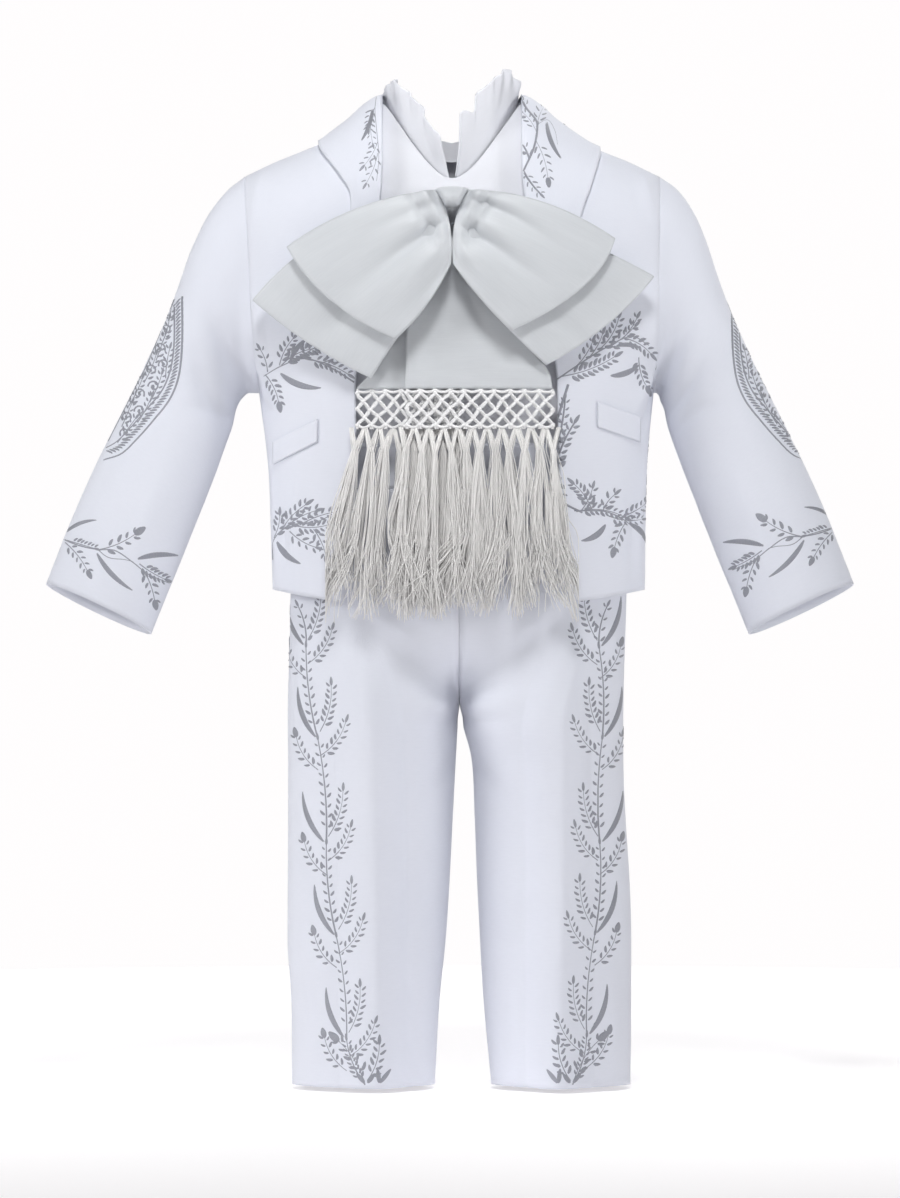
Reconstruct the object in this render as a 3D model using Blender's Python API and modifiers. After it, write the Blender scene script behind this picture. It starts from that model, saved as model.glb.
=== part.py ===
"""Toddler's charro suit: short jacket, shirt, bow tie with fringed tails, and trousers.

Units are metres and +Z is up. The wearer faces -Y, so the wearer's right is at -X.
The origin is in the middle of the neck opening, level with the shoulders.
"""
import math
from bisect import bisect_right
from typing import NamedTuple

import bmesh
import bpy
from mathutils import Vector

# Driving dimensions in metres
MM = 0.001
CLOTH = 1.3 * MM
SHIRTING = 1.0 * MM
SATIN = 1.1 * MM
SEAM = 0.6 * MM
FRONT = -1
BACK = 1
RIGHT = -1
LEFT = 1

UNDERARM = -0.160
ARMHOLE_LOW = 0.1295
ARMHOLE_TOP = 0.1360
NECK_HALF_WIDTH = 0.0455
SHIRT_NECK_HALF_WIDTH = 0.0450
NECK_BACK_DEPTH = 0.0500
NECK_FRONT_DEPTH = 0.0592
NECK_COLUMNS = 0.5
CHEST_ROUNDNESS = 2.67
SHOULDER_ROUNDNESS = 4.0
SIDE_NARROWING = 0.1
SIDE_NARROWING_CLIMB = 0.3
DEEPEST_SHARE = 0.999
NORMAL_STEP = 0.004
RIDGE_BLEND = 0.02
LOW_ROWS = 0.4
ROW_CROWDING = 1.8
WELD = 0.001 * MM

CROTCH = -0.3775
TROUSER_TOP = -0.2250
TROUSER_HEM = -0.6160
WAISTBAND_TOP = -0.1950


class Stance(NamedTuple):
    """Sideways place of the suit's middle at a height."""
    z: float
    middle: float


class Ridge(NamedTuple):
    """Height of the shoulder line at a distance from the middle."""
    x: float
    z: float


class Section(NamedTuple):
    """Half sizes of a trunk section; climb is -1 at the hem and 0 at the underarm."""
    climb: float
    half_width: float
    half_depth: float


class Edge(NamedTuple):
    """Distance of the jacket's front edge from the middle at a height."""
    z: float
    x: float


class SleeveRing(NamedTuple):
    """Outer and inner point of a sleeve section, its half depth and forward shift."""
    outer_x: float
    outer_z: float
    inner_x: float
    inner_z: float
    half_depth: float
    forward: float


class Lapel(NamedTuple):
    """Outer edge of the shawl collar at a climb, on the wearer's right and left."""
    climb: float
    right: float
    left: float


class CollarTop(NamedTuple):
    """Height of the shirt collar's edge at an angle from the middle front."""
    angle: float
    z: float


class LegSection(NamedTuple):
    """Inner and outer edge of a trouser leg and its half depth at a height."""
    z: float
    inner: float
    outer: float
    half_depth: float


class HipSection(NamedTuple):
    """Half sizes of the trousers above the legs."""
    z: float
    half_width: float
    half_depth: float


class Drape(NamedTuple):
    """Distance of the bow's plane before the middle of the body at a height."""
    z: float
    depth: float


class LoopOutline(NamedTuple):
    """Corners and edge middles of a bow loop in the front view, (x, z)."""
    name: str
    side: int
    layer: float
    top_in: tuple
    top_mid: tuple
    top_out: tuple
    out_mid: tuple
    low_out: tuple
    low_mid: tuple
    low_in: tuple
    in_mid: tuple


class TailEdge(NamedTuple):
    """Right and left edge of a hanging tail at a height."""
    z: float
    right: float
    left: float


STANCE = (
    Stance(-0.616, 0.0060),
    Stance(-0.300, 0.0045),
    Stance(-0.165, 0.0030),
    Stance(-0.020, 0.0000),
)

SHOULDER = (
    Ridge(0.000, 0.0300),
    Ridge(0.030, 0.0318),
    Ridge(0.045, 0.0325),
    Ridge(0.055, 0.0277),
    Ridge(0.067, 0.0170),
    Ridge(0.085, 0.0045),
    Ridge(0.098, -0.0012),
    Ridge(0.118, -0.0095),
    Ridge(0.136, -0.0180),
)

JACKET_LOW = (
    Section(-1.00, 0.1220, 0.0745),
    Section(-0.70, 0.1230, 0.0750),
    Section(-0.35, 0.1245, 0.0755),
    Section(0.00, 0.1295, 0.0760),
)

SHIRT_LOW = (
    Section(-1.00, 0.1053, 0.0633),
    Section(-0.45, 0.1055, 0.0635),
    Section(-0.25, 0.1180, 0.0690),
    Section(0.00, 0.1260, 0.0705),
)

FRONT_EDGE = (
    Edge(-0.300, 0.0800),
    Edge(-0.294, 0.0715),
    Edge(-0.280, 0.0672),
    Edge(-0.200, 0.0655),
    Edge(-0.140, 0.0640),
    Edge(-0.080, 0.0540),
    Edge(-0.030, 0.0460),
    Edge(0.030, 0.0455),
)

SLEEVE_RINGS = (
    SleeveRing(0.1480, -0.0270, 0.1345, -0.1600, 0.0400, 0.0000),
    SleeveRing(0.1600, -0.0430, 0.1375, -0.1625, 0.0370, 0.0000),
    SleeveRing(0.1700, -0.0650, 0.1395, -0.1660, 0.0345, 0.0000),
    SleeveRing(0.1785, -0.0900, 0.1415, -0.1710, 0.0325, 0.0005),
    SleeveRing(0.1880, -0.1150, 0.1430, -0.1790, 0.0310, 0.0015),
    SleeveRing(0.1995, -0.1400, 0.1465, -0.1900, 0.0300, 0.0030),
    SleeveRing(0.2110, -0.1640, 0.1530, -0.2080, 0.0295, 0.0050),
    SleeveRing(0.2245, -0.1910, 0.1610, -0.2290, 0.0290, 0.0075),
    SleeveRing(0.2380, -0.2200, 0.1715, -0.2560, 0.0285, 0.0105),
    SleeveRing(0.2520, -0.2530, 0.1840, -0.2870, 0.0275, 0.0135),
    SleeveRing(0.2650, -0.2870, 0.1970, -0.3190, 0.0270, 0.0165),
)
CUFF_TILT = 2.4 * MM
SLEEVE_MIDDLE = -1.3 * MM
SLEEVE_HEAD_MIDDLE = 1.3 * MM
SLEEVE_HEAD_RINGS = 3
UNDERARM_GAP = 1.04 * MM
UNDERARM_LIFT = 0.3 * MM

LAPEL_EDGE = (
    Lapel(0.20, 0.0660, 0.0680),
    Lapel(0.55, 0.0660, 0.0780),
    Lapel(0.70, 0.0655, 0.0835),
    Lapel(0.80, 0.0720, 0.0890),
    Lapel(0.95, 0.0850, 0.0960),
    Lapel(1.00, 0.0870, 0.0965),
)
COLLAR_BACK_WIDTH = 0.0190
COLLAR_LIFT = 3.3 * MM
COLLAR_EDGE_LIFT = 2.5 * MM
COLLAR_LIFT_REACH = 0.3
COLLAR_FRONT_SHARE = 0.55
COLLAR_CROWDING = 1.5

SHIRT_HEM = -0.2150
SHIRT_INSET = 2.8 * MM
COLLAR_WALL_INSET = 2.7 * MM
COLLAR_FLARE = 0.8 * MM
COLLAR_FOOT = 2.0 * MM
SHIRT_COLLAR_RIGHT = (
    CollarTop(3.0, -0.0215),
    CollarTop(7.0, -0.0050),
    CollarTop(9.0, 0.0030),
    CollarTop(18.0, 0.0120),
    CollarTop(27.0, 0.0240),
    CollarTop(42.0, 0.0345),
    CollarTop(58.0, 0.0442),
    CollarTop(78.0, 0.0420),
    CollarTop(102.0, 0.0330),
    CollarTop(135.0, 0.0160),
    CollarTop(180.0, 0.0080),
)
SHIRT_COLLAR_LEFT = (
    CollarTop(3.0, -0.0205),
    CollarTop(6.0, -0.0020),
    CollarTop(8.0, 0.0190),
    CollarTop(19.0, 0.0215),
    CollarTop(24.0, 0.0330),
    CollarTop(34.0, 0.0410),
    CollarTop(56.0, 0.0508),
    CollarTop(78.0, 0.0430),
    CollarTop(102.0, 0.0330),
    CollarTop(135.0, 0.0160),
    CollarTop(180.0, 0.0080),
)

HIPS = (
    HipSection(-0.380, 0.1100, 0.0690),
    HipSection(-0.340, 0.1100, 0.0700),
    HipSection(-0.300, 0.1100, 0.0700),
    HipSection(-0.260, 0.1095, 0.0690),
    HipSection(-0.225, 0.1080, 0.0660),
)
HIP_ROUNDNESS = 2.67
LEG_BLEND_TOP = -0.275
LEG_ROUNDNESS = 1.62
CROTCH_SPREAD = 0.78 * MM
RIGHT_LEG = (
    LegSection(-0.616, -0.0118, -0.1050, 0.0420),
    LegSection(-0.560, -0.0086, -0.1056, 0.0430),
    LegSection(-0.520, -0.0046, -0.1080, 0.0450),
    LegSection(-0.480, -0.0020, -0.1078, 0.0480),
    LegSection(-0.440, 0.0005, -0.1076, 0.0520),
    LegSection(-0.402, 0.0034, -0.1076, 0.0590),
    LegSection(-0.380, 0.0039, -0.1078, 0.0640),
)
LEFT_LEG = (
    LegSection(-0.616, 0.0264, 0.1172, 0.0420),
    LegSection(-0.560, 0.0212, 0.1178, 0.0430),
    LegSection(-0.520, 0.0190, 0.1178, 0.0450),
    LegSection(-0.480, 0.0170, 0.1165, 0.0480),
    LegSection(-0.440, 0.0148, 0.1140, 0.0520),
    LegSection(-0.402, 0.0122, 0.1125, 0.0590),
    LegSection(-0.380, 0.0068, 0.1125, 0.0640),
)

WELT_RIGHT = ((-0.1160, -0.1935), (-0.0870, -0.1795), 0.0145)
WELT_LEFT = ((0.1220, -0.1770), (0.0940, -0.1680), 0.0165)
WELT_LIFT = 2.1 * MM

DRAPE = (
    Drape(-0.300, 0.0840),
    Drape(-0.160, 0.0840),
    Drape(-0.100, 0.0835),
    Drape(-0.060, 0.0800),
    Drape(-0.030, 0.0745),
)
DRAPE_CURVE = 1.3
LOOP_HALF_GAP = 3.2 * MM
LOWER_LAYER = 5.0 * MM
UPPER_LAYER = 13.0 * MM
LOOP_TIP_SHARE = 0.75
LOOP_ROUNDNESS = 5
LOOP_PINCH = 0.4
LOOP_PINCH_REACH = 0.5
VALLEY = 2.0 * MM
VALLEY_WIDTH = 0.14
VALLEY_LEAN = 0.7
BOW_LOOPS = (
    LoopOutline(
        "bow_upper_right", RIGHT, UPPER_LAYER,
        (-0.0112, -0.0320), (-0.0615, -0.0440), (-0.1066, -0.0682), (-0.0785, -0.1030),
        (-0.0360, -0.1284), (-0.0165, -0.1070), (-0.0008, -0.0805), (-0.0018, -0.0530),
    ),
    LoopOutline(
        "bow_upper_left", LEFT, UPPER_LAYER,
        (0.0112, -0.0320), (0.0590, -0.0400), (0.1053, -0.0627), (0.0838, -0.0950),
        (0.0376, -0.1229), (0.0185, -0.1030), (0.0008, -0.0805), (0.0018, -0.0530),
    ),
    LoopOutline(
        "bow_lower_right", RIGHT, LOWER_LAYER,
        (-0.0145, -0.0430), (-0.0772, -0.0594), (-0.1294, -0.1020), (-0.0924, -0.1307),
        (-0.0521, -0.1531), (-0.0310, -0.1214), (-0.0046, -0.0858), (-0.0040, -0.0600),
    ),
    LoopOutline(
        "bow_lower_left", LEFT, LOWER_LAYER,
        (0.0145, -0.0430), (0.0713, -0.0594), (0.1310, -0.0865), (0.0990, -0.1195),
        (0.0607, -0.1447), (0.0350, -0.1200), (0.0046, -0.0858), (0.0040, -0.0600),
    ),
)
KNOT_TOP = -0.0312
KNOT_APEX = -0.0525
KNOT_GAP = 0.4 * MM
KNOT_FRONT = 19.0 * MM
KNOT_SEAT = 0.6 * MM
KNOT_RINGS = 6
KNOT_SIDES = 12
KNOT_SWELL = 0.45
KNOT_SWELL_PLACE = 0.7
KNOT_SQUARE = (0.6, 0.8)

TAIL_TOP = -0.0531
TAIL_END = -0.1597
FRONT_TAIL = (
    TailEdge(-0.1597, -0.0305, 0.0650),
    TailEdge(-0.1480, -0.0300, 0.0620),
    TailEdge(-0.1200, -0.0290, 0.0400),
    TailEdge(-0.0560, -0.0080, 0.0080),
)
REAR_TAIL = (
    TailEdge(-0.1597, -0.0620, 0.0060),
    TailEdge(-0.1500, -0.0530, 0.0040),
    TailEdge(-0.1200, -0.0380, 0.0030),
    TailEdge(-0.0560, -0.0070, 0.0060),
)
REAR_TAIL_SET_BACK = 3.3 * MM

NET_HALF_ROW = 4.5 * MM
NET_ROWS = 4
NET_BORDER = 2.6 * MM
NET_KNOT = 1.5 * MM
NET_CORD = 1.4 * MM
FRINGE_BAR = 3.0 * MM
FRINGE_DEPTH = 2.8 * MM
STRAND_ROOT = 0.8
STRAND_TIP = 0.35
STRAND_SEGMENTS = 3
STRAND_SWAY = 1.6 * MM
SWAY_TURN = 1.7
STRAND_UNEVEN = 0.07
UNEVEN_TURN = 2.4


class Tail(NamedTuple):
    """One tail's name, set back, net width and the fringe's spread and length."""
    name: str
    edges: tuple
    set_back: float
    net_right: float
    net_left: float
    cells: int
    strands: int
    tip_right: float
    tip_left: float
    fringe_length: float


TAILS = (
    Tail("front", FRONT_TAIL, 0.0, -0.0300, 0.0660, 10, 30, -0.0400, 0.0805, 0.1200),
    Tail("rear", REAR_TAIL, REAR_TAIL_SET_BACK, -0.0620, 0.0052, 7, 21, -0.0805, 0.0080, 0.1180),
)

COLOURS = {
    "suiting": (0.86, 0.87, 0.93, 1.0),
    "shirting": (0.88, 0.88, 0.91, 1.0),
    "satin": (0.74, 0.76, 0.78, 1.0),
    "cord": (0.80, 0.80, 0.80, 1.0),
    "thread": (0.84, 0.83, 0.80, 1.0),
}
ROUGHNESS = {"suiting": 0.8, "shirting": 0.8, "satin": 0.35, "cord": 0.6, "thread": 0.35}


def read(rows, key, value, at):
    """Value of one column of a table, on a smooth curve through its rows."""
    keys = [getattr(row, key) for row in rows]
    values = [getattr(row, value) for row in rows]
    if at <= keys[0]:
        return values[0]
    if at >= keys[-1]:
        return values[-1]
    low = bisect_right(keys, at) - 1
    span = keys[low + 1] - keys[low]
    part = (at - keys[low]) / span
    start = slope(keys, values, low) * span
    end = slope(keys, values, low + 1) * span
    rise = values[low + 1] - values[low]
    curve = (start - rise) * (1.0 - part) ** 2 * part + (rise - end) * (1.0 - part) * part ** 2
    return values[low] + rise * part + curve


def slope(keys, values, row):
    """Slope of a table's curve at a row, level where the values turn back."""
    first = max(row - 1, 0)
    last = min(row + 1, len(keys) - 1)
    before = values[row] - values[first]
    after = values[last] - values[row]
    if first < row < last and before * after <= 0.0:
        return 0.0
    return (values[last] - values[first]) / (keys[last] - keys[first])


def mix(first, second, part):
    """Point or number between two others."""
    return first * (1.0 - part) + second * part


def squared(value, power):
    """Power of a number's size that keeps its sign."""
    return math.copysign(abs(value) ** power, value)


def ease(value):
    """Smooth step from 0 to 1."""
    value = min(max(value, 0.0), 1.0)
    return value * value * (3.0 - 2.0 * value)


def middle(z):
    """Sideways place of the suit's middle at a height."""
    return read(STANCE, "z", "middle", z)


class Trunk:
    """Hollow trunk of a jacket or shirt: rounded sections under a rounded shoulder."""

    def __init__(self, low, hem, dip, inset):
        self.low = low
        self.hem = hem
        self.dip = dip
        self.inset = inset
        self.upper_depth = low[-1].half_depth

    def edge(self, climb):
        """Distance of the side seam or the armhole from the middle."""
        if climb <= 0.0:
            return read(self.low, "climb", "half_width", climb)
        return self.low[-1].half_width + (ARMHOLE_TOP - ARMHOLE_LOW) * climb

    def bulge(self, climb, x):
        """Share of the half depth left at x, from 1 in the middle to 0 at the side."""
        kept = 1.0 - SIDE_NARROWING * ease(climb / SIDE_NARROWING_CLIMB)
        share = min(abs(x) / self.edge(climb) * kept, 1.0)
        return (1.0 - share ** CHEST_ROUNDNESS) ** (1.0 / CHEST_ROUNDNESS)

    def climb_at_depth(self, x, depth):
        """Climb at which the upper trunk is a given depth before or behind the middle."""
        share = min(depth / (self.upper_depth * self.bulge(1.0, x)), DEEPEST_SHARE)
        return (1.0 - share ** 2) ** (1.0 / SHOULDER_ROUNDNESS)

    def climb_at_height(self, x, z):
        """Climb below the underarm of a point in the front view."""
        hem = self.hem_height(x / self.edge(-0.5))
        return (z - hem) / (UNDERARM - self.inset - hem) - 1.0

    def hem_height(self, across):
        """Height of the hem, lowest between the middle and the side."""
        return self.hem - self.dip * math.sin(math.pi * min(abs(across), 1.0))

    def surface(self, face, across, climb):
        """Point of the trunk; across runs from -1 to 1 between the sides."""
        x = across * self.edge(climb)
        low = UNDERARM - self.inset
        if climb <= 0.0:
            depth = read(self.low, "climb", "half_depth", climb) * self.bulge(climb, x)
            z = mix(self.hem_height(across), low, climb + 1.0)
        else:
            height = min(climb, 1.0)
            depth = self.upper_depth * self.bulge(climb, x)
            depth *= math.sqrt(max(1.0 - height ** SHOULDER_ROUNDNESS, 0.0))
            top = read(SHOULDER, "x", "z", abs(x)) - self.inset
            z = mix(low, top, height)
        return Vector((x + middle(z), face * depth, z))

    def lifted(self, face, across, climb, lift):
        """Point of the trunk moved outwards along its normal."""
        step = NORMAL_STEP
        wide = min(max(across, step - 1.0), 1.0 - step)
        high = min(climb, 1.0 - 2.0 * step)
        along = self.surface(face, wide + step, high) - self.surface(face, wide - step, high)
        upward = self.surface(face, wide, high + step) - self.surface(face, wide, high - step)
        normal = along.cross(upward).normalized() * -face
        upright = Vector((normal.x, 0.0, normal.z))
        normal = mix(normal, upright, ease((climb - 1.0) / RIDGE_BLEND + 1.0))
        return self.surface(face, across, climb) + normal.normalized() * lift


JACKET = Trunk(JACKET_LOW, -0.2900, 0.0085, 0.0)
SHIRT = Trunk(SHIRT_LOW, SHIRT_HEM, 0.0, SHIRT_INSET)


def clear_scene():
    """Remove everything that the scene starts with."""
    for item in list(bpy.data.objects):
        bpy.data.objects.remove(item, do_unlink=True)


def make_collection():
    """Collection that holds the suit's pieces."""
    collection = bpy.data.collections.new("charro_suit")
    bpy.context.scene.collection.children.link(collection)
    return collection


def fabric(name, kind):
    """Cloth material of one piece."""
    material = bpy.data.materials.new(name + "_cloth")
    material.use_nodes = True
    shader = material.node_tree.nodes["Principled BSDF"]
    shader.inputs["Base Color"].default_value = COLOURS[kind]
    shader.inputs["Roughness"].default_value = ROUGHNESS[kind]
    shader.inputs["Metallic"].default_value = 0.0
    return material


def add_piece(collection, name, mesh_data, kind, wall=None):
    """Put a mesh in the scene as one piece; a wall thickens an open surface."""
    mesh = bpy.data.meshes.new(name)
    mesh_data.normal_update()
    mesh_data.to_mesh(mesh)
    mesh_data.free()
    mesh.shade_smooth()
    piece = bpy.data.objects.new(name, mesh)
    piece.data.materials.append(fabric(name, kind))
    collection.objects.link(piece)
    if wall:
        thickness = piece.modifiers.new("cloth_thickness", "SOLIDIFY")
        thickness.thickness = wall
        thickness.offset = 0.0
        thickness.use_rim = True
        thickness.use_even_offset = False
    return piece


def shaped_grid(columns, rows, surface, closed=False):
    """Grid of quads laid on surface(u, v); a closed one is welded where u comes round."""
    cloth = bmesh.new()
    bmesh.ops.create_grid(cloth, x_segments=columns, y_segments=rows, size=0.5)
    for vertex in cloth.verts:
        u = vertex.co.x + 0.5
        v = vertex.co.y + 0.5
        vertex.co = surface(min(max(u, 0.0), 1.0), min(max(v, 0.0), 1.0))
    if closed:
        bmesh.ops.remove_doubles(cloth, verts=cloth.verts, dist=WELD)
    return cloth


def side_spread(part):
    """Columns crowd towards the sides, where the trunk turns quickly."""
    return math.sin(part * math.pi / 2.0) ** (2.0 / CHEST_ROUNDNESS)


def side_part(across):
    """Inverse of side_spread."""
    return math.asin(min(across, 1.0) ** (CHEST_ROUNDNESS / 2.0)) * 2.0 / math.pi


def row_climb(v, top):
    """Climb of a row: two fifths lie below the underarm, and the last ones crowd."""
    if v < LOW_ROWS:
        return v / LOW_ROWS - 1.0
    left = (1.0 - v) / (1.0 - LOW_ROWS)
    return top * (1.0 - left ** ROW_CROWDING)


def seam_shift(point, face):
    """Move a panel's point off the side and shoulder seams by half a seam's gap."""
    return point + Vector((0.0, face * SEAM / 2.0, 0.0))


def front_edge_x(climb):
    """Distance of the jacket's front edge from the middle."""
    if climb <= 0.0:
        z = mix(JACKET.hem - JACKET.dip, UNDERARM, climb + 1.0)
    else:
        z = mix(UNDERARM, 0.030, climb)
    return read(FRONT_EDGE, "z", "x", z)


def jacket_front(side):
    """Jacket front from its open edge to the side seam and the armhole."""
    def surface(u, v):
        climb = row_climb(v, 1.0)
        first = side_part(front_edge_x(climb) / JACKET.edge(climb))
        across = side_spread(mix(first, 1.0, u))
        return seam_shift(JACKET.surface(FRONT, side * across, climb), FRONT)
    return surface


def back_neck_climb(trunk, x):
    """Climb of the neckline behind, or the shoulder line beside the neck."""
    if abs(x) >= NECK_HALF_WIDTH:
        return 1.0
    depth = NECK_BACK_DEPTH * math.sqrt(1.0 - (x / NECK_HALF_WIDTH) ** 2)
    return trunk.climb_at_depth(x, depth)


def neck_column(u, neck_share):
    """Across value of a column, with one column on each edge of the neck."""
    share = abs(2.0 * u - 1.0)
    if share <= NECK_COLUMNS:
        across = neck_share * math.sin(share / NECK_COLUMNS * math.pi / 2.0)
    else:
        first = side_part(neck_share)
        across = side_spread(mix(first, 1.0, (share - NECK_COLUMNS) / (1.0 - NECK_COLUMNS)))
    return math.copysign(across, 2.0 * u - 1.0)


def jacket_back():
    """Whole jacket back, with the neckline cut into its top."""
    def surface(u, v):
        share = NECK_HALF_WIDTH / JACKET.edge(1.0)
        across = neck_column(u, share)
        top = back_neck_climb(JACKET, across * JACKET.edge(1.0))
        return seam_shift(JACKET.surface(BACK, across, row_climb(v, top)), BACK)
    return surface


def armhole_point(side, turn):
    """Point of the armhole; turn 0 is the shoulder tip and pi the underarm."""
    face = FRONT if math.sin(turn) >= 0.0 else BACK
    climb = (1.0 + math.cos(turn)) / 2.0
    point = JACKET.surface(face, side, climb)
    low = ease(1.0 - 2.0 * climb)
    point.x += side * (SEAM + low * UNDERARM_GAP)
    point.z += low * UNDERARM_LIFT
    return point


def sleeve(side):
    """Sleeve from the armhole to the open cuff, one ring to each table row."""
    rings = len(SLEEVE_RINGS)

    def surface(u, v):
        turn = u * 2.0 * math.pi
        number = round(v * rings)
        if number == 0:
            return armhole_point(side, turn)
        ring = SLEEVE_RINGS[number - 1]
        outer = Vector((ring.outer_x, 0.0, ring.outer_z))
        inner = Vector((ring.inner_x, 0.0, ring.inner_z))
        point = (outer + inner) / 2.0 + (outer - inner) / 2.0 * math.cos(turn)
        front = math.sin(turn)
        point.y = -ring.half_depth * front - ring.forward
        point.z += CUFF_TILT * front * (number / rings) ** 2
        settled = min(number / SLEEVE_HEAD_RINGS, 1.0)
        point.x = side * point.x + mix(SLEEVE_HEAD_MIDDLE, SLEEVE_MIDDLE, settled)
        return point
    return surface


def shawl_collar(side):
    """Half of the shawl collar, from the lapel's foot over the shoulder to mid back."""
    column = "right" if side == RIGHT else "left"
    shoulder_width = read(LAPEL_EDGE, "climb", column, 1.0)

    def surface(u, v):
        lift = mix(COLLAR_EDGE_LIFT, COLLAR_LIFT, ease((1.0 - v) / COLLAR_LIFT_REACH))
        if u <= COLLAR_FRONT_SHARE:
            left_over = (1.0 - u / COLLAR_FRONT_SHARE) ** COLLAR_CROWDING
            climb = mix(1.0, LAPEL_EDGE[0].climb, left_over)
            inner = front_edge_x(climb)
            outer = read(LAPEL_EDGE, "climb", column, climb)
            x = mix(inner, outer, v)
            return JACKET.lifted(FRONT, side * x / JACKET.edge(climb), climb, lift)
        behind = (u - COLLAR_FRONT_SHARE) / (1.0 - COLLAR_FRONT_SHARE)
        turn = behind * math.pi / 2.0
        x = mix(NECK_HALF_WIDTH, shoulder_width, v) * math.cos(turn)
        depth = (NECK_BACK_DEPTH + COLLAR_BACK_WIDTH * v) * math.sin(turn)
        climb = JACKET.climb_at_depth(x, depth)
        point = JACKET.lifted(BACK, side * x / JACKET.edge(climb), climb, lift)
        point.x += side * SEAM / 2.0
        return point
    return surface


def pocket_welt(side, outline):
    """Pocket welt lying on a jacket front, from beside the seam towards the middle."""
    outer, inner, height = outline

    def surface(u, v):
        x = mix(outer[0], inner[0], u)
        z = mix(outer[1], inner[1], u) - height * (1.0 - v)
        x -= middle(z)
        climb = JACKET.climb_at_height(x, z)
        return JACKET.lifted(FRONT, x / JACKET.edge(climb), climb, WELT_LIFT)
    return surface


def shirt_neck_climb(face, x):
    """Climb of the shirt's neckline at a distance from the middle."""
    if abs(x) >= SHIRT_NECK_HALF_WIDTH:
        return 1.0
    depth = NECK_FRONT_DEPTH if face == FRONT else NECK_BACK_DEPTH
    share = x / SHIRT_NECK_HALF_WIDTH
    return SHIRT.climb_at_depth(x, depth * math.sqrt(1.0 - share ** 2))


def shirt_panel(face):
    """Shirt front or back, tucked into the waistband, with open armholes."""
    def surface(u, v):
        across = neck_column(u, SHIRT_NECK_HALF_WIDTH / SHIRT.edge(1.0))
        top = shirt_neck_climb(face, across * SHIRT.edge(1.0))
        return seam_shift(SHIRT.surface(face, across, row_climb(v, top)), face)
    return surface


def shirt_collar():
    """Standing shirt collar, open in front, on the columns of its two tables."""
    right = [(math.radians(row.angle), row.z, RIGHT) for row in SHIRT_COLLAR_RIGHT]
    left = [(math.radians(row.angle), row.z, LEFT) for row in SHIRT_COLLAR_LEFT]
    columns = right + left[-2::-1]

    def surface(u, v):
        angle, top, side = columns[round(u * (len(columns) - 1))]
        face = FRONT if math.cos(angle) > 0.0 else BACK
        depth = NECK_FRONT_DEPTH if face == FRONT else NECK_BACK_DEPTH
        reach = COLLAR_WALL_INSET - COLLAR_FLARE * v
        x = (NECK_HALF_WIDTH - reach) * math.sin(angle)
        y = face * (depth - reach) * abs(math.cos(angle))
        climb = shirt_neck_climb(face, x)
        foot = SHIRT.surface(face, x / SHIRT.edge(climb), climb).z - COLLAR_FOOT
        return Vector((side * x, y, mix(foot, top, v)))
    return surface, len(columns) - 1


def leg_point(rows, face, u, z):
    """Point of a single leg's half: u runs from the outer seam to the inner one."""
    inner = read(rows, "z", "inner", z)
    outer = read(rows, "z", "outer", z)
    share = math.cos(math.pi * u)
    depth = read(rows, "z", "half_depth", z) * math.sqrt(1.0 - abs(share) ** LEG_ROUNDNESS)
    return Vector((mix(inner, outer, (share + 1.0) / 2.0), face * depth, z))


def hip_point(side, face, u, z):
    """Point of the trousers over the hips: u runs from the side to the middle."""
    power = 2.0 / HIP_ROUNDNESS
    x = read(HIPS, "z", "half_width", z) * math.cos(math.pi * u / 2.0) ** power
    y = read(HIPS, "z", "half_depth", z) * math.sin(math.pi * u / 2.0) ** power
    return Vector((middle(z) + side * (x + SEAM / 2.0), face * y, z))


def trouser_panel(side, face):
    """Trouser front or back for one leg, from the waist to the hem."""
    rows = RIGHT_LEG if side == RIGHT else LEFT_LEG

    def surface(u, v):
        z = trouser_row(v)
        blend = ease((LEG_BLEND_TOP - z) / (LEG_BLEND_TOP - CROTCH))
        leg = leg_point(rows, face, u, min(z, rows[-1].z))
        leg.z = z
        if z > CROTCH:
            meeting = middle(z) + side * (SEAM / 2.0 + CROTCH_SPREAD * blend)
            leg.x = mix(leg.x, meeting, ease((u - 0.5) * 2.0))
        point = mix(hip_point(side, face, u, z), leg, blend)
        return seam_shift(point, face)
    return surface


def trouser_row(v):
    """Height of a row of the trousers, with one row at the crotch."""
    if v > 0.5:
        return mix(CROTCH, TROUSER_TOP, (v - 0.5) * 2.0)
    return mix(TROUSER_HEM, CROTCH, v * 2.0)


def waistband():
    """Closed waistband ring above the trouser panels."""
    power = 2.0 / HIP_ROUNDNESS
    size = HIPS[-1]

    def surface(u, v):
        turn = u * 2.0 * math.pi
        x = squared(math.cos(turn), power) * size.half_width
        y = squared(math.sin(turn), power) * size.half_depth
        z = mix(TROUSER_TOP + SEAM, WAISTBAND_TOP, v)
        return Vector((middle(z) + x, y, z))
    return surface


def drape_y(x, z):
    """Plane in which the bow tie hangs, bent back towards the shoulders."""
    return DRAPE_CURVE * x * x - read(DRAPE, "z", "depth", z)


def bend(first, through, last, part):
    """Point of a parabola through three points in the front view."""
    first, through, last = Vector(first), Vector(through), Vector(last)
    control = through * 2.0 - (first + last) / 2.0
    return mix(mix(first, control, part), mix(control, last, part), part)


def loop_plan(loop, out, down):
    """Front view point of a bow loop: out from the knot, down from its upper edge."""
    upper = bend(loop.top_in, loop.top_mid, loop.top_out, out)
    lower = bend(loop.low_in, loop.low_mid, loop.low_out, out)
    near = bend(loop.top_in, loop.in_mid, loop.low_in, down)
    far = bend(loop.top_out, loop.out_mid, loop.low_out, down)
    corners = mix(
        mix(Vector(loop.top_in), Vector(loop.low_in), down),
        mix(Vector(loop.top_out), Vector(loop.low_out), down),
        out,
    )
    return mix(upper, lower, down) + mix(near, far, out) - corners


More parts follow.
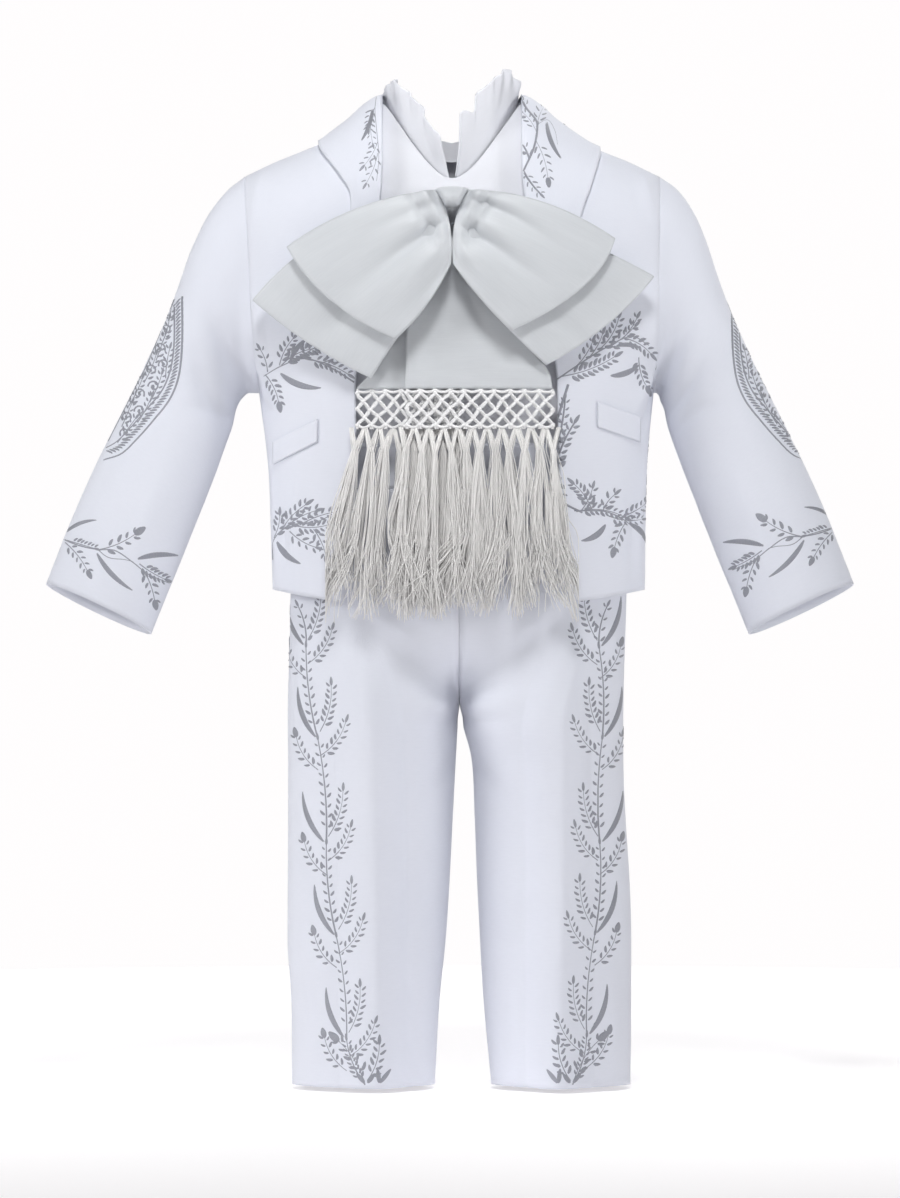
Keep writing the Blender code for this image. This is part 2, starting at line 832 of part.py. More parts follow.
def bow_loop(loop):
    """Bow loop: a band that goes out, folds over at the tip and comes back."""
    def surface(u, v):
        travel = math.sin((u * 2.0 - 1.0) * math.pi / 2.0)
        out = 1.0 - travel ** 2
        if out < LOOP_TIP_SHARE:
            out = 1.5 * (1.0 - abs(travel))
        place = loop_plan(loop, out, v)
        pinch = mix(LOOP_PINCH, 1.0, ease(out / LOOP_PINCH_REACH))
        half_gap = LOOP_HALF_GAP * math.sqrt(1.0 - out ** LOOP_ROUNDNESS) * pinch
        y = drape_y(place.x, place.y) - loop.layer + math.copysign(half_gap, travel)
        if travel < 0.0:
            trough = math.exp(-((v - 0.5) / VALLEY_WIDTH) ** 2)
            y += VALLEY * trough * math.sin(math.pi * out ** VALLEY_LEAN)
        return Vector((place.x, y, place.y))
    return surface


def shirt_front_y(z):
    """Place of the shirt's middle front at a height above the underarm."""
    low = SHIRT.surface(FRONT, 0.0, 0.0).z
    high = SHIRT.surface(FRONT, 0.0, 1.0).z
    return SHIRT.surface(FRONT, 0.0, (z - low) / (high - low)).y


def knot_half_width(z):
    """Half width of the knot: it fills the wedge between the two upper loops."""
    loop = BOW_LOOPS[1]
    steps = 60
    points = [bend(loop.top_in, loop.in_mid, loop.low_in, i / steps) for i in range(steps + 1)]
    nearest = min(points, key=lambda point: abs(point.y - z))
    return nearest.x - KNOT_GAP


def bow_knot():
    """Knot of the bow: a rounded wedge, wide at its top, through to the shirt."""
    wedge = bmesh.new()
    loops = []
    for number in range(KNOT_RINGS):
        down = number / (KNOT_RINGS - 1)
        z = mix(KNOT_TOP, KNOT_APEX, down)
        width = knot_half_width(z)
        swell = 1.0 - KNOT_SWELL * abs(2.0 * down - KNOT_SWELL_PLACE) ** 3
        front = drape_y(0.0, z) - KNOT_FRONT * swell
        back = shirt_front_y(z) - SHIRTING / 2.0 - KNOT_SEAT
        ring = []
        for step in range(KNOT_SIDES):
            turn = 2.0 * math.pi * step / KNOT_SIDES
            wide = squared(math.cos(turn), KNOT_SQUARE[0]) * width
            deep = squared(math.sin(turn), KNOT_SQUARE[1])
            place = (wide, mix(front, back, (deep + 1.0) / 2.0), z)
            ring.append(wedge.verts.new(place))
        loops.append(ring)
    for upper, lower in zip(loops, loops[1:]):
        for step in range(KNOT_SIDES):
            after = (step + 1) % KNOT_SIDES
            wedge.faces.new((upper[step], lower[step], lower[after], upper[after]))
    wedge.faces.new(loops[0])
    wedge.faces.new(list(reversed(loops[-1])))
    bmesh.ops.recalc_face_normals(wedge, faces=wedge.faces)
    return wedge


def tie_tail(tail):
    """Flat tail that hangs from the knot and widens to the net."""
    def surface(u, v):
        z = mix(TAIL_END, TAIL_TOP, v)
        x = mix(read(tail.edges, "z", "right", z), read(tail.edges, "z", "left", z), u)
        return Vector((x, drape_y(x, z) + tail.set_back, z))
    return surface


def net_band(tail):
    """Knotted net band: knots joined by slanting cords, with its gaps left open."""
    net = bmesh.new()
    top = TAIL_END - SEAM
    pitch = (tail.net_left - tail.net_right) / tail.cells
    made = {}

    def vertex(x, z):
        key = (round(x * 1e6), round(z * 1e6))
        if key not in made:
            made[key] = net.verts.new((x, drape_y(x, z) + tail.set_back, z))
        return made[key]

    def knot(row, column):
        x = tail.net_right + (column + (0.5 if row % 2 else 0.0)) * pitch
        z = top - NET_BORDER - row * NET_HALF_ROW
        return x, z

    def corners(row, column):
        x, z = knot(row, column)
        west = max(x - NET_KNOT, tail.net_right)
        east = min(x + NET_KNOT, tail.net_left)
        return {
            "west": vertex(west, z),
            "east": vertex(east, z),
            "north": vertex(x, z + NET_KNOT),
            "south": vertex(x, z - NET_KNOT),
        }

    grid = []
    for row in range(NET_ROWS + 1):
        count = tail.cells + (0 if row % 2 else 1)
        grid.append([corners(row, column) for column in range(count)])
    for row, knots in enumerate(grid):
        for place in knots:
            outline = [place["west"], place["south"], place["east"], place["north"]]
            if row == 0:
                outline.remove(place["north"])
            if row == NET_ROWS:
                outline.remove(place["south"])
            if len(set(outline)) > 2:
                net.faces.new(outline)
    for row in range(NET_ROWS):
        shift = 0 if row % 2 else -1
        for column, place in enumerate(grid[row]):
            for below, slant in ((column + shift, "west"), (column + shift + 1, "east")):
                if not 0 <= below < len(grid[row + 1]):
                    continue
                other = grid[row + 1][below]
                facing = "east" if slant == "west" else "west"
                net.faces.new((place[slant], place["south"], other[facing], other["north"]))
    for row, outward in ((0, NET_BORDER), (NET_ROWS, -NET_BORDER)):
        line = [place[end] for place in grid[row] for end in ("west", "east")]
        line = list(dict.fromkeys(line))
        beyond = [vertex(point.co.x, point.co.z + outward) for point in line]
        for step in range(len(line) - 1):
            net.faces.new((line[step], line[step + 1], beyond[step + 1], beyond[step]))
    loose = [point for point in net.verts if not point.link_faces]
    bmesh.ops.delete(net, geom=loose, context="VERTS")
    bmesh.ops.recalc_face_normals(net, faces=net.faces)
    return net


def fringe(tail):
    """Strands drawn out of the underside of one backing bar, in two staggered rows."""
    columns = 2 * tail.strands - 1
    comb = bmesh.new()
    bmesh.ops.create_grid(comb, x_segments=columns, y_segments=2, size=0.5)
    top = TAIL_END - 2.0 * SEAM - 2.0 * NET_BORDER - NET_ROWS * NET_HALF_ROW
    width = tail.net_left - tail.net_right
    middle_x = (tail.net_left + tail.net_right) / 2.0
    lower = list(comb.faces)
    for vertex in comb.verts:
        x = middle_x + vertex.co.x * width
        y = drape_y(x, top) + tail.set_back + vertex.co.y * FRINGE_DEPTH
        vertex.co = (x, y, top - FRINGE_BAR)
    bmesh.ops.reverse_faces(comb, faces=lower)
    rim = bmesh.ops.extrude_face_region(comb, geom=lower, use_keep_orig=True)
    raised = [item for item in rim["geom"] if isinstance(item, bmesh.types.BMVert)]
    for vertex in raised:
        vertex.co.z = top
    bmesh.ops.recalc_face_normals(comb, faces=comb.faces)
    comb.faces.ensure_lookup_table()
    roots = [face for face in comb.faces if face.normal.z < -0.9]
    roots.sort(key=lambda face: (round(face.calc_center_median().x, 5), face.calc_center_median().y))
    for number, face in enumerate(roots):
        if (number // 2 + number) % 2 == 0:
            draw_strand(comb, face, tail, number // 2, top)
    return comb


def draw_strand(comb, face, tail, number, top):
    """Extrude one strand down from a face of the bar, tapering towards its tip."""
    centre = face.calc_center_median()
    share = (centre.x - tail.net_right) / (tail.net_left - tail.net_right)
    tip_x = mix(tail.tip_right, tail.tip_left, share)
    shorter = STRAND_UNEVEN * (1.0 + math.sin(number * UNEVEN_TURN)) / 2.0
    length = tail.fringe_length * (1.0 - shorter)
    ring = [vertex.co - centre for vertex in face.verts]
    for segment in range(1, STRAND_SEGMENTS + 1):
        part = segment / STRAND_SEGMENTS
        drawn = bmesh.ops.extrude_discrete_faces(comb, faces=[face])
        face = drawn["faces"][0]
        sway = STRAND_SWAY * math.sin(part * math.pi) * math.sin(number * SWAY_TURN)
        x = mix(centre.x, tip_x, part) + sway * part
        place = Vector((x, centre.y, top - FRINGE_BAR - length * part))
        scale = mix(STRAND_ROOT, STRAND_TIP, part)
        for vertex, offset in zip(face.verts, ring):
            vertex.co = place + offset * scale


def build():
    """Model every piece of the suit."""
    clear_scene()
    suit = make_collection()
    sides = ((RIGHT, "right"), (LEFT, "left"))
    add_piece(suit, "jacket_back", shaped_grid(16, 14, jacket_back()), "suiting", CLOTH)
    for side, word in sides:
        front = shaped_grid(8, 14, jacket_front(side))
        add_piece(suit, "jacket_front_" + word, front, "suiting", CLOTH)
        tube = shaped_grid(16, len(SLEEVE_RINGS), sleeve(side), closed=True)
        add_piece(suit, "jacket_sleeve_" + word, tube, "suiting", CLOTH)
        collar = shaped_grid(18, 3, shawl_collar(side))
        add_piece(suit, "jacket_collar_" + word, collar, "suiting", CLOTH)
        outline = WELT_RIGHT if side == RIGHT else WELT_LEFT
        welt = shaped_grid(6, 2, pocket_welt(side, outline))
        add_piece(suit, "jacket_welt_" + word, welt, "suiting", CLOTH)
        for face, half in ((FRONT, "front"), (BACK, "back")):
            panel = shaped_grid(8, 14, trouser_panel(side, face))
            add_piece(suit, "trouser_" + half + "_" + word, panel, "suiting", CLOTH)
    add_piece(suit, "waistband", shaped_grid(32, 1, waistband(), closed=True), "suiting", CLOTH)
    add_piece(suit, "shirt_front", shaped_grid(16, 8, shirt_panel(FRONT)), "shirting", SHIRTING)
    add_piece(suit, "shirt_back", shaped_grid(16, 8, shirt_panel(BACK)), "shirting", SHIRTING)
    collar_surface, collar_columns = shirt_collar()
    collar = shaped_grid(collar_columns, 3, collar_surface)
    add_piece(suit, "shirt_collar", collar, "shirting", SHIRTING)
    for loop in BOW_LOOPS:
        add_piece(suit, loop.name, shaped_grid(16, 5, bow_loop(loop)), "satin", SATIN)
    add_piece(suit, "bow_knot", bow_knot(), "satin")
    for tail in TAILS:
        add_piece(suit, "tie_tail_" + tail.name, shaped_grid(4, 6, tie_tail(tail)), "satin", SATIN)
        add_piece(suit, "tie_net_" + tail.name, net_band(tail), "cord", NET_CORD)
        add_piece(suit, "tie_fringe_" + tail.name, fringe(tail), "thread")


if __name__ == "__main__":
    build()
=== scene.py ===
"""Looks of a toddler's charro suit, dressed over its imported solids.

Units are metres and +Z is up. The wearer faces -Y, so the wearer's right is at -X.
"""

import logging
import math
import random
from bisect import bisect_right
from dataclasses import dataclass
from enum import Enum
from typing import Any, Callable, Union

import bmesh
import bpy
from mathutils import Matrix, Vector, noise
from mathutils.bvhtree import BVHTree
from mathutils.kdtree import KDTree


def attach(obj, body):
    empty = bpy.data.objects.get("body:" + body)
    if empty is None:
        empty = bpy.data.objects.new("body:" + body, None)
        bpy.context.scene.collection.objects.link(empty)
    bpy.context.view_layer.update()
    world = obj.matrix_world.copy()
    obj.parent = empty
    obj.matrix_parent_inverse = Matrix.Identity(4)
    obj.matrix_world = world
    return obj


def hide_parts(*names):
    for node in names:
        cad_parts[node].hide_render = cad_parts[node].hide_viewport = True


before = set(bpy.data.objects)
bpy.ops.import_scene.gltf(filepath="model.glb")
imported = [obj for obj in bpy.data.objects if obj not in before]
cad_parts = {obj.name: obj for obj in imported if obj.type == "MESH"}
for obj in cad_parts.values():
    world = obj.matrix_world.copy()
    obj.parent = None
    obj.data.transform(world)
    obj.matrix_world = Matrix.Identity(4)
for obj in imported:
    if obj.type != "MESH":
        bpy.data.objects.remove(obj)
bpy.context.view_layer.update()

LOG = logging.getLogger("charro_suit")

MM = 0.001
PIXEL = 0.66 * MM
MIDDLE_COLUMN = 452.0
LEVEL_ROW = 150.0

CLOTH = 1.1 * MM
SHIRTING = 0.8 * MM
SATIN = 0.9 * MM
SEAM = 0.10 * MM
TOUCH = 0.002 * MM

Surface = Callable[[float, float], Vector]
Spot = tuple[float, float]


class Side(Enum):
    """Side of the wearer."""

    RIGHT = -1
    LEFT = 1


class Face(Enum):
    """Front or back of the suit."""

    FRONT = -1
    BACK = 1


class Hang(Enum):
    """How a sheet of cloth is held."""

    WORN = "draped"
    HUNG = "hung"
    FOLDED = "folded"
    LAID = "laid"


# Numbers and curves


def mix(first: Any, second: Any, part: float) -> Any:
    """Return the number or point between two others."""
    return first * (1.0 - part) + second * part


def clamp(value: float, low: float = 0.0, high: float = 1.0) -> float:
    """Return a value kept between two limits."""
    return min(max(value, low), high)


def ease(value: float) -> float:
    """Return a smooth step from 0 to 1."""
    value = clamp(value)
    return value * value * (3.0 - 2.0 * value)


def squared(value: float, power: float) -> float:
    """Return the power of a number's size with its sign kept."""
    return math.copysign(abs(value) ** power, value)


def smooth_slope(keys: list[float], values: list[float], row: int) -> float:
    """Return the slope of a table's curve at a row, level where it turns back.

    Args:
        keys: Places of the rows.
        values: Values of the rows.
        row: Number of the row.

    Returns:
        Slope of the curve at that row.
    """
    first = max(row - 1, 0)
    last = min(row + 1, len(keys) - 1)
    if first < row < last and (values[row] - values[first]) * (values[last] - values[row]) <= 0.0:
        return 0.0
    return (values[last] - values[first]) / (keys[last] - keys[first])


def smooth_value(keys: list[float], values: list[float], at: float) -> float:
    """Return the value of a smooth curve through a table's rows.

    Args:
        keys: Places of the rows, rising.
        values: Values of the rows.
        at: Place to read.

    Returns:
        Value at that place.
    """
    if at <= keys[0]:
        return values[0]
    if at >= keys[-1]:
        return values[-1]
    low = bisect_right(keys, at) - 1
    span = keys[low + 1] - keys[low]
    part = (at - keys[low]) / span
    start = smooth_slope(keys, values, low) * span
    end = smooth_slope(keys, values, low + 1) * span
    rise = values[low + 1] - values[low]
    curve = (start - rise) * (1.0 - part) ** 2 * part + (rise - end) * (1.0 - part) * part ** 2
    return values[low] + rise * part + curve


class Table:
    """Smooth curves through the rows of a table, one for each column."""

    def __init__(self, *rows: tuple[float, ...]) -> None:
        """Keep the rows' first column as places and the others as values."""
        self.keys = [row[0] for row in rows]
        self.columns = [list(column) for column in list(zip(*rows))[1:]]

    def at(self, place: float, column: int = 0) -> float:
        """Return the value of a column at a place."""
        return smooth_value(self.keys, self.columns[column], place)


def bend(first: Spot, through: Spot, last: Spot, part: float) -> Vector:
    """Return a point of the parabola through three places.

    Args:
        first: First place.
        through: Place halfway.
        last: Last place.
        part: Share of the way, from 0 to 1.

    Returns:
        Point of the parabola.
    """
    start, via, end = Vector(first), Vector(through), Vector(last)
    control = via * 2.0 - (start + end) / 2.0
    return mix(mix(start, control, part), mix(control, end, part), part)


def photo_place(column: float, row: float) -> Spot:
    """Return the (x, z) place of a picture element of the photograph."""
    return (column - MIDDLE_COLUMN) * PIXEL, (LEVEL_ROW - row) * PIXEL


# The suit's sizes, as in its solids

STANCE = Table((-0.616, 0.0060), (-0.300, 0.0045), (-0.165, 0.0030), (-0.020, 0.0000))
SHOULDER = Table(
    (0.000, 0.0300), (0.030, 0.0318), (0.045, 0.0325), (0.055, 0.0277), (0.067, 0.0170),
    (0.085, 0.0045), (0.098, -0.0012), (0.118, -0.0095), (0.136, -0.0180),
)
UNDERARM = -0.160
ARMHOLE_LOW = 0.1295
ARMHOLE_TOP = 0.1360
NECK_HALF_WIDTH = 0.0455
SHIRT_NECK_HALF_WIDTH = 0.0450
NECK_BACK_DEPTH = 0.0500
NECK_FRONT_DEPTH = 0.0592
CHEST_ROUNDNESS = 2.67
SHOULDER_ROUNDNESS = 4.0
CROTCH = -0.3775
TROUSER_TOP = -0.2250
TROUSER_HEM = -0.6160
WAISTBAND_TOP = -0.1950


def middle(z: float) -> float:
    """Return the sideways place of the suit's middle at a height."""
    return STANCE.at(z)


@dataclass(frozen=True)
class Trunk:
    """Hollow trunk of a jacket or shirt: rounded sections under a rounded shoulder."""

    low: Table
    hem: float
    dip: float
    inset: float

    def edge(self, climb: float) -> float:
        """Return the distance of the side seam or the armhole from the middle.

        Args:
            climb: -1 at the hem, 0 at the underarm and 1 on the shoulder line.

        Returns:
            Distance in metres.
        """
        if climb <= 0.0:
            return self.low.at(climb, 0)
        return self.low.columns[0][-1] + (ARMHOLE_TOP - ARMHOLE_LOW) * climb

    def bulge(self, climb: float, x: float) -> float:
        """Return the share of the half depth left at x.

        Args:
            climb: -1 at the hem, 0 at the underarm and 1 on the shoulder line.
            x: Distance from the middle.

        Returns:
            Share from 0 to 1.
        """
        kept = 1.0 - 0.1 * ease(climb / 0.3)
        share = min(abs(x) / self.edge(climb) * kept, 1.0)
        return (1.0 - share ** CHEST_ROUNDNESS) ** (1.0 / CHEST_ROUNDNESS)

    def climb_at_depth(self, x: float, depth: float) -> float:
        """Return the climb at which the upper trunk has a given depth."""
        share = min(depth / (self.low.columns[1][-1] * self.bulge(1.0, x)), 0.999)
        return (1.0 - share ** 2) ** (1.0 / SHOULDER_ROUNDNESS)

    def climb_at_height(self, x: float, z: float) -> float:
        """Return the climb of a point of the front view, below the underarm."""
        hem = self.hem_height(x / self.edge(-0.5))
        return (z - hem) / (UNDERARM - self.inset - hem) - 1.0

    def hem_height(self, across: float) -> float:
        """Return the height of the hem, lowest between the middle and the side."""
        return self.hem - self.dip * math.sin(math.pi * min(abs(across), 1.0))

    def surface(self, face: int, across: float, climb: float) -> Vector:
        """Return a point of the trunk.

        Args:
            face: -1 in front and 1 behind.
            across: From -1 to 1 between the sides.
            climb: -1 at the hem, 0 at the underarm and 1 on the shoulder line.

        Returns:
            Point in metres.
        """
        x = across * self.edge(climb)
        low = UNDERARM - self.inset
        if climb <= 0.0:
            depth = self.low.at(climb, 1) * self.bulge(climb, x)
            z = mix(self.hem_height(across), low, climb + 1.0)
        else:
            depth = self.low.columns[1][-1] * self.bulge(climb, x)
            depth *= math.sqrt(max(1.0 - min(climb, 1.0) ** SHOULDER_ROUNDNESS, 0.0))
            z = mix(low, SHOULDER.at(abs(x)) - self.inset, min(climb, 1.0))
        return Vector((x + middle(z), face * depth, z))

    def lifted(self, face: int, across: float, climb: float, lift: float) -> Vector:
        """Return a point of the trunk moved outwards along its normal.

        Args:
            face: -1 in front and 1 behind.
            across: From -1 to 1 between the sides.
            climb: -1 at the hem, 0 at the underarm and 1 on the shoulder line.
            lift: Distance to move.

        Returns:
            Point in metres.
        """
        step = 0.004
        wide = clamp(across, step - 1.0, 1.0 - step)
        high = min(climb, 1.0 - 2.0 * step)
        along = self.surface(face, wide + step, high) - self.surface(face, wide - step, high)
        upward = self.surface(face, wide, high + step) - self.surface(face, wide, high - step)
        normal = along.cross(upward).normalized() * -face
        upright = Vector((normal.x, 0.0, normal.z))
        normal = mix(normal, upright, ease((climb - 1.0) / 0.02 + 1.0))
        return self.surface(face, across, climb) + normal.normalized() * lift


JACKET = Trunk(
    Table(
        (-1.00, 0.1220, 0.0745), (-0.70, 0.1230, 0.0750),
        (-0.35, 0.1245, 0.0755), (0.00, 0.1295, 0.0760),
    ),
    -0.2900, 0.0085, 0.0,
)
SHIRT = Trunk(
    Table(
        (-1.00, 0.1053, 0.0633), (-0.45, 0.1055, 0.0635),
        (-0.25, 0.1180, 0.0690), (0.00, 0.1260, 0.0705),
    ),
    -0.2150, 0.0, 2.8 * MM,
)
FRONT_EDGE = Table(
    (-0.300, 0.0800), (-0.294, 0.0715), (-0.280, 0.0672), (-0.200, 0.0655),
    (-0.140, 0.0640), (-0.080, 0.0540), (-0.030, 0.0460), (0.030, 0.0455),
)
SLEEVE = Table(
    (1, 0.1480, -0.0270, 0.1345, -0.1600, 0.0400, 0.0000),
    (2, 0.1600, -0.0430, 0.1375, -0.1625, 0.0370, 0.0000),
    (3, 0.1700, -0.0650, 0.1395, -0.1660, 0.0345, 0.0000),
    (4, 0.1785, -0.0900, 0.1415, -0.1710, 0.0325, 0.0005),
    (5, 0.1880, -0.1150, 0.1430, -0.1790, 0.0310, 0.0015),
    (6, 0.1995, -0.1400, 0.1465, -0.1900, 0.0300, 0.0030),
    (7, 0.2110, -0.1640, 0.1530, -0.2080, 0.0295, 0.0050),
    (8, 0.2245, -0.1910, 0.1610, -0.2290, 0.0290, 0.0075),
    (9, 0.2380, -0.2200, 0.1715, -0.2560, 0.0285, 0.0105),
    (10, 0.2520, -0.2530, 0.1840, -0.2870, 0.0275, 0.0135),
    (11, 0.2650, -0.2870, 0.1970, -0.3190, 0.0270, 0.0165),
)
SLEEVE_RINGS = 11
LAPEL_EDGE = Table(
    (0.20, 0.0660, 0.0680), (0.55, 0.0660, 0.0780), (0.70, 0.0655, 0.0835),
    (0.80, 0.0720, 0.0890), (0.95, 0.0850, 0.0960), (1.00, 0.0870, 0.0965),
)
COLLAR_RIGHT = Table(
    (3.0, -0.0215), (7.0, -0.0050), (9.0, 0.0030), (18.0, 0.0120), (27.0, 0.0240),
    (42.0, 0.0345), (58.0, 0.0442), (78.0, 0.0420), (102.0, 0.0330), (135.0, 0.0160),
    (180.0, 0.0080),
)
COLLAR_LEFT = Table(
    (3.0, -0.0205), (6.0, -0.0020), (8.0, 0.0190), (19.0, 0.0215), (24.0, 0.0330),
    (34.0, 0.0410), (56.0, 0.0508), (78.0, 0.0430), (102.0, 0.0330), (135.0, 0.0160),
    (180.0, 0.0080),
)
HIPS = Table(
    (-0.380, 0.1100, 0.0690), (-0.340, 0.1100, 0.0700), (-0.300, 0.1100, 0.0700),
    (-0.260, 0.1095, 0.0690), (-0.225, 0.1080, 0.0660),
)
HIP_ROUNDNESS = 2.67
LEG_BLEND_TOP = -0.275
LEG_ROUNDNESS = 1.62
LEGS = {
    Side.RIGHT: Table(
        (-0.616, -0.0118, -0.1050, 0.0420), (-0.560, -0.0086, -0.1056, 0.0430),
        (-0.520, -0.0046, -0.1080, 0.0450), (-0.480, -0.0020, -0.1078, 0.0480),
        (-0.440, 0.0000, -0.1076, 0.0520), (-0.402, 0.0020, -0.1076, 0.0590),
        (-0.380, 0.0032, -0.1078, 0.0640),
    ),
    Side.LEFT: Table(
        (-0.616, 0.0264, 0.1172, 0.0420), (-0.560, 0.0212, 0.1178, 0.0430),
        (-0.520, 0.0190, 0.1178, 0.0450), (-0.480, 0.0170, 0.1165, 0.0480),
        (-0.440, 0.0155, 0.1140, 0.0520), (-0.402, 0.0135, 0.1125, 0.0590),
        (-0.380, 0.0078, 0.1125, 0.0640),
    ),
}
DRAPE = Table(
    (-0.300, 0.0840), (-0.160, 0.0840), (-0.100, 0.0835), (-0.060, 0.0800), (-0.030, 0.0745),
)
DRAPE_CURVE = 1.3


def drape_y(x: float, z: float) -> float:
    """Return the plane in which the bow tie hangs, bent back to the shoulders."""
    return DRAPE_CURVE * x * x - DRAPE.at(z)


# Finishes


Value = Union["Wire", float]


class Wire:
    """Socket of a shader's node, with arithmetic that adds Math nodes."""

    def __init__(self, shader: "Shader", socket: bpy.types.NodeSocket) -> None:
        """Keep the shader and the socket."""
        self.shader = shader
        self.socket = socket

    def math(self, operation: str, *others: Value) -> "Wire":
        """Return the result of a Math node on this socket and others."""
        values = {0: self} | {place + 1: other for place, other in enumerate(others)}
        return self.shader.node("ShaderNodeMath", {"operation": operation}, values)

    def __add__(self, other: Value) -> "Wire":
        """Return the sum."""
        return self.math("ADD", other)

    __radd__ = __add__

    def __sub__(self, other: Value) -> "Wire":
        """Return the difference."""
        return self.math("SUBTRACT", other)

    def __rsub__(self, other: float) -> "Wire":
        """Return the difference from a number."""
        return (self * -1.0) + other

    def __mul__(self, other: Value) -> "Wire":
        """Return the product."""
        return self.math("MULTIPLY", other)

    __rmul__ = __mul__

    def __truediv__(self, other: Value) -> "Wire":
        """Return the quotient."""
        return self.math("DIVIDE", other)

    def __pow__(self, other: Value) -> "Wire":
        """Return the power."""
        return self.math("POWER", other)

    def sine(self) -> "Wire":
        """Return the sine."""
        return self.math("SINE")

    def size(self) -> "Wire":
        """Return the absolute value."""
        return self.math("ABSOLUTE")

    def limited(self) -> "Wire":
        """Return the value kept from 0 to 1."""
        return self.math("MAXIMUM", 0.0).math("MINIMUM", 1.0)


class Shader:
    """Material of one finish, built from nodes."""

    def __init__(self, name: str) -> None:
        """Make an empty finish with its surface shader.

        Args:
            name: Name of the material.
        """
        self.material = bpy.data.materials.new(name)
        self.material.use_nodes = True
        self.tree = self.material.node_tree
        self.surface = self.tree.nodes["Principled BSDF"]

    def node(self, kind: str, settings: dict[str, Any], values: dict[Any, Any], output: Any = 0) -> Wire:
        """Add a node.

        Args:
            kind: Type of the node.
            settings: Settings, made before its sockets are filled.
            values: Values or wires of its sockets, by name or number.
            output: Name or number of the socket to return.

        Returns:
            Wire from the chosen output.
        """
        node = self.tree.nodes.new(kind)
        for setting, value in settings.items():
            setattr(node, setting, value)
        for socket, value in values.items():
            self.fill(node.inputs[socket], value)
        return Wire(self, node.outputs[output])

    def fill(self, socket: bpy.types.NodeSocket, value: Any) -> None:
        """Link a wire to a socket, or set its value.

        Args:
            socket: Socket to fill.
            value: A wire, or the value itself.
        """
        if isinstance(value, Wire):
            self.tree.links.new(value.socket, socket)
        else:
            socket.default_value = value

    def set(self, **values: Any) -> None:
        """Fill sockets of the surface shader, by name with underscores."""
        for name, value in values.items():
            self.fill(self.surface.inputs[name.replace("_", " ")], value)

    def parts(self, source: str, attribute: str = "cut") -> tuple[Wire, Wire, Wire, Wire]:
        """Return a coordinate and its three parts, from "Object" or "UV".

        Args:
            source: "Object" or "UV".
            attribute: Name of the UV layer.

        Returns:
            The coordinate, and its three parts.
        """
        if source == "UV":
            place = self.node("ShaderNodeUVMap", {"uv_map": attribute}, {}, "UV")
        else:
            place = self.node("ShaderNodeTexCoord", {}, {}, "Object")
        split = self.node("ShaderNodeSeparateXYZ", {}, {0: place}, "X")
        outputs = split.socket.node.outputs
        return place, split, Wire(self, outputs["Y"]), Wire(self, outputs["Z"])

    def speckle(self, place: Wire, scale: float, detail: float = 2.0, roughness: float = 0.5) -> Wire:
        """Return soft noise from 0 to 1."""
        values = {"Vector": place, "Scale": scale, "Detail": detail, "Roughness": roughness}
        return self.node("ShaderNodeTexNoise", {"noise_dimensions": "3D"}, values, "Fac")

    def stretched(self, place: Wire, scale: tuple[float, float, float]) -> Wire:
        """Return a coordinate scaled differently along its axes."""
        return self.node("ShaderNodeMapping", {"vector_type": "POINT"}, {"Vector": place, "Scale": scale}, 0)

    def tinted(self, first: tuple, second: tuple, factor: Value) -> Wire:
        """Return a colour between two others.

        Args:
            first: Colour at 0.
            second: Colour at 1.
            factor: Share of the second colour.

        Returns:
            Wire of the colour.
        """
        values = {"Factor": factor, "A": (*first, 1.0), "B": (*second, 1.0)}
        node = self.tree.nodes.new("ShaderNodeMix")
        node.data_type = "RGBA"
        self.fill(node.inputs[0], values["Factor"])
        self.fill(node.inputs[6], values["A"])
        self.fill(node.inputs[7], values["B"])
        return Wire(self, node.outputs[2])

    def emboss(self, height: Wire, distance: float, strength: float = 1.0) -> None:
        """Feed a height to the surface's normal."""
        values = {"Height": height, "Distance": distance, "Strength": strength}
        self.set(Normal=self.node("ShaderNodeBump", {}, values, 0))


@dataclass(frozen=True)
class Weave:
    """Plain or twill woven cloth."""

    name: str
    light: tuple[float, float, float]
    dark: tuple[float, float, float]
    pitch: float
    twill: bool
    depth: float
    roughness: float
    sheen: float

    def make(self) -> bpy.types.Material:
        """Return the cloth's material.

        Returns:
            The material.
        """
        shader = Shader(self.name)
        cut, across, along, _ = shader.parts("UV")
        turn = 2.0 * math.pi / self.pitch
        slub = shader.speckle(shader.stretched(cut, (140.0, 900.0, 1.0)), 1.0)
        if self.twill:
            ribs = ((across + along) * (turn * 0.7) + slub * 1.5).sine() * 0.5 + 0.5
            threads = (along * turn).sine() * 0.25 + 0.5
            weave = ribs * 0.7 + threads * 0.3
        else:
            weave = ((across * turn).sine() * (along * turn).sine()) * 0.5 + 0.5
        place, _, _, _ = shader.parts("Object")
        cloud = shader.speckle(place, 11.0, 3.0)
        nap = shader.speckle(place, 1500.0, 2.0)
        # Tone: random clouds and slubs of the cloth, plus painted shade: the weave's low grooves, where the bump
        # sinks, are coloured darker.
        tone = (cloud * 0.45 + slub * 0.25 + (1.0 - weave) * 0.3).limited()
        shader.set(
            Base_Color=shader.tinted(self.light, self.dark, tone),
            Roughness=(nap * 0.14 + (self.roughness - 0.07)).limited(),
            Sheen_Weight=self.sheen,
            Sheen_Roughness=0.4,
            Specular_IOR_Level=0.25,
        )
        shader.emboss(weave * 0.8 + nap * 0.2, self.depth)
        return shader.material


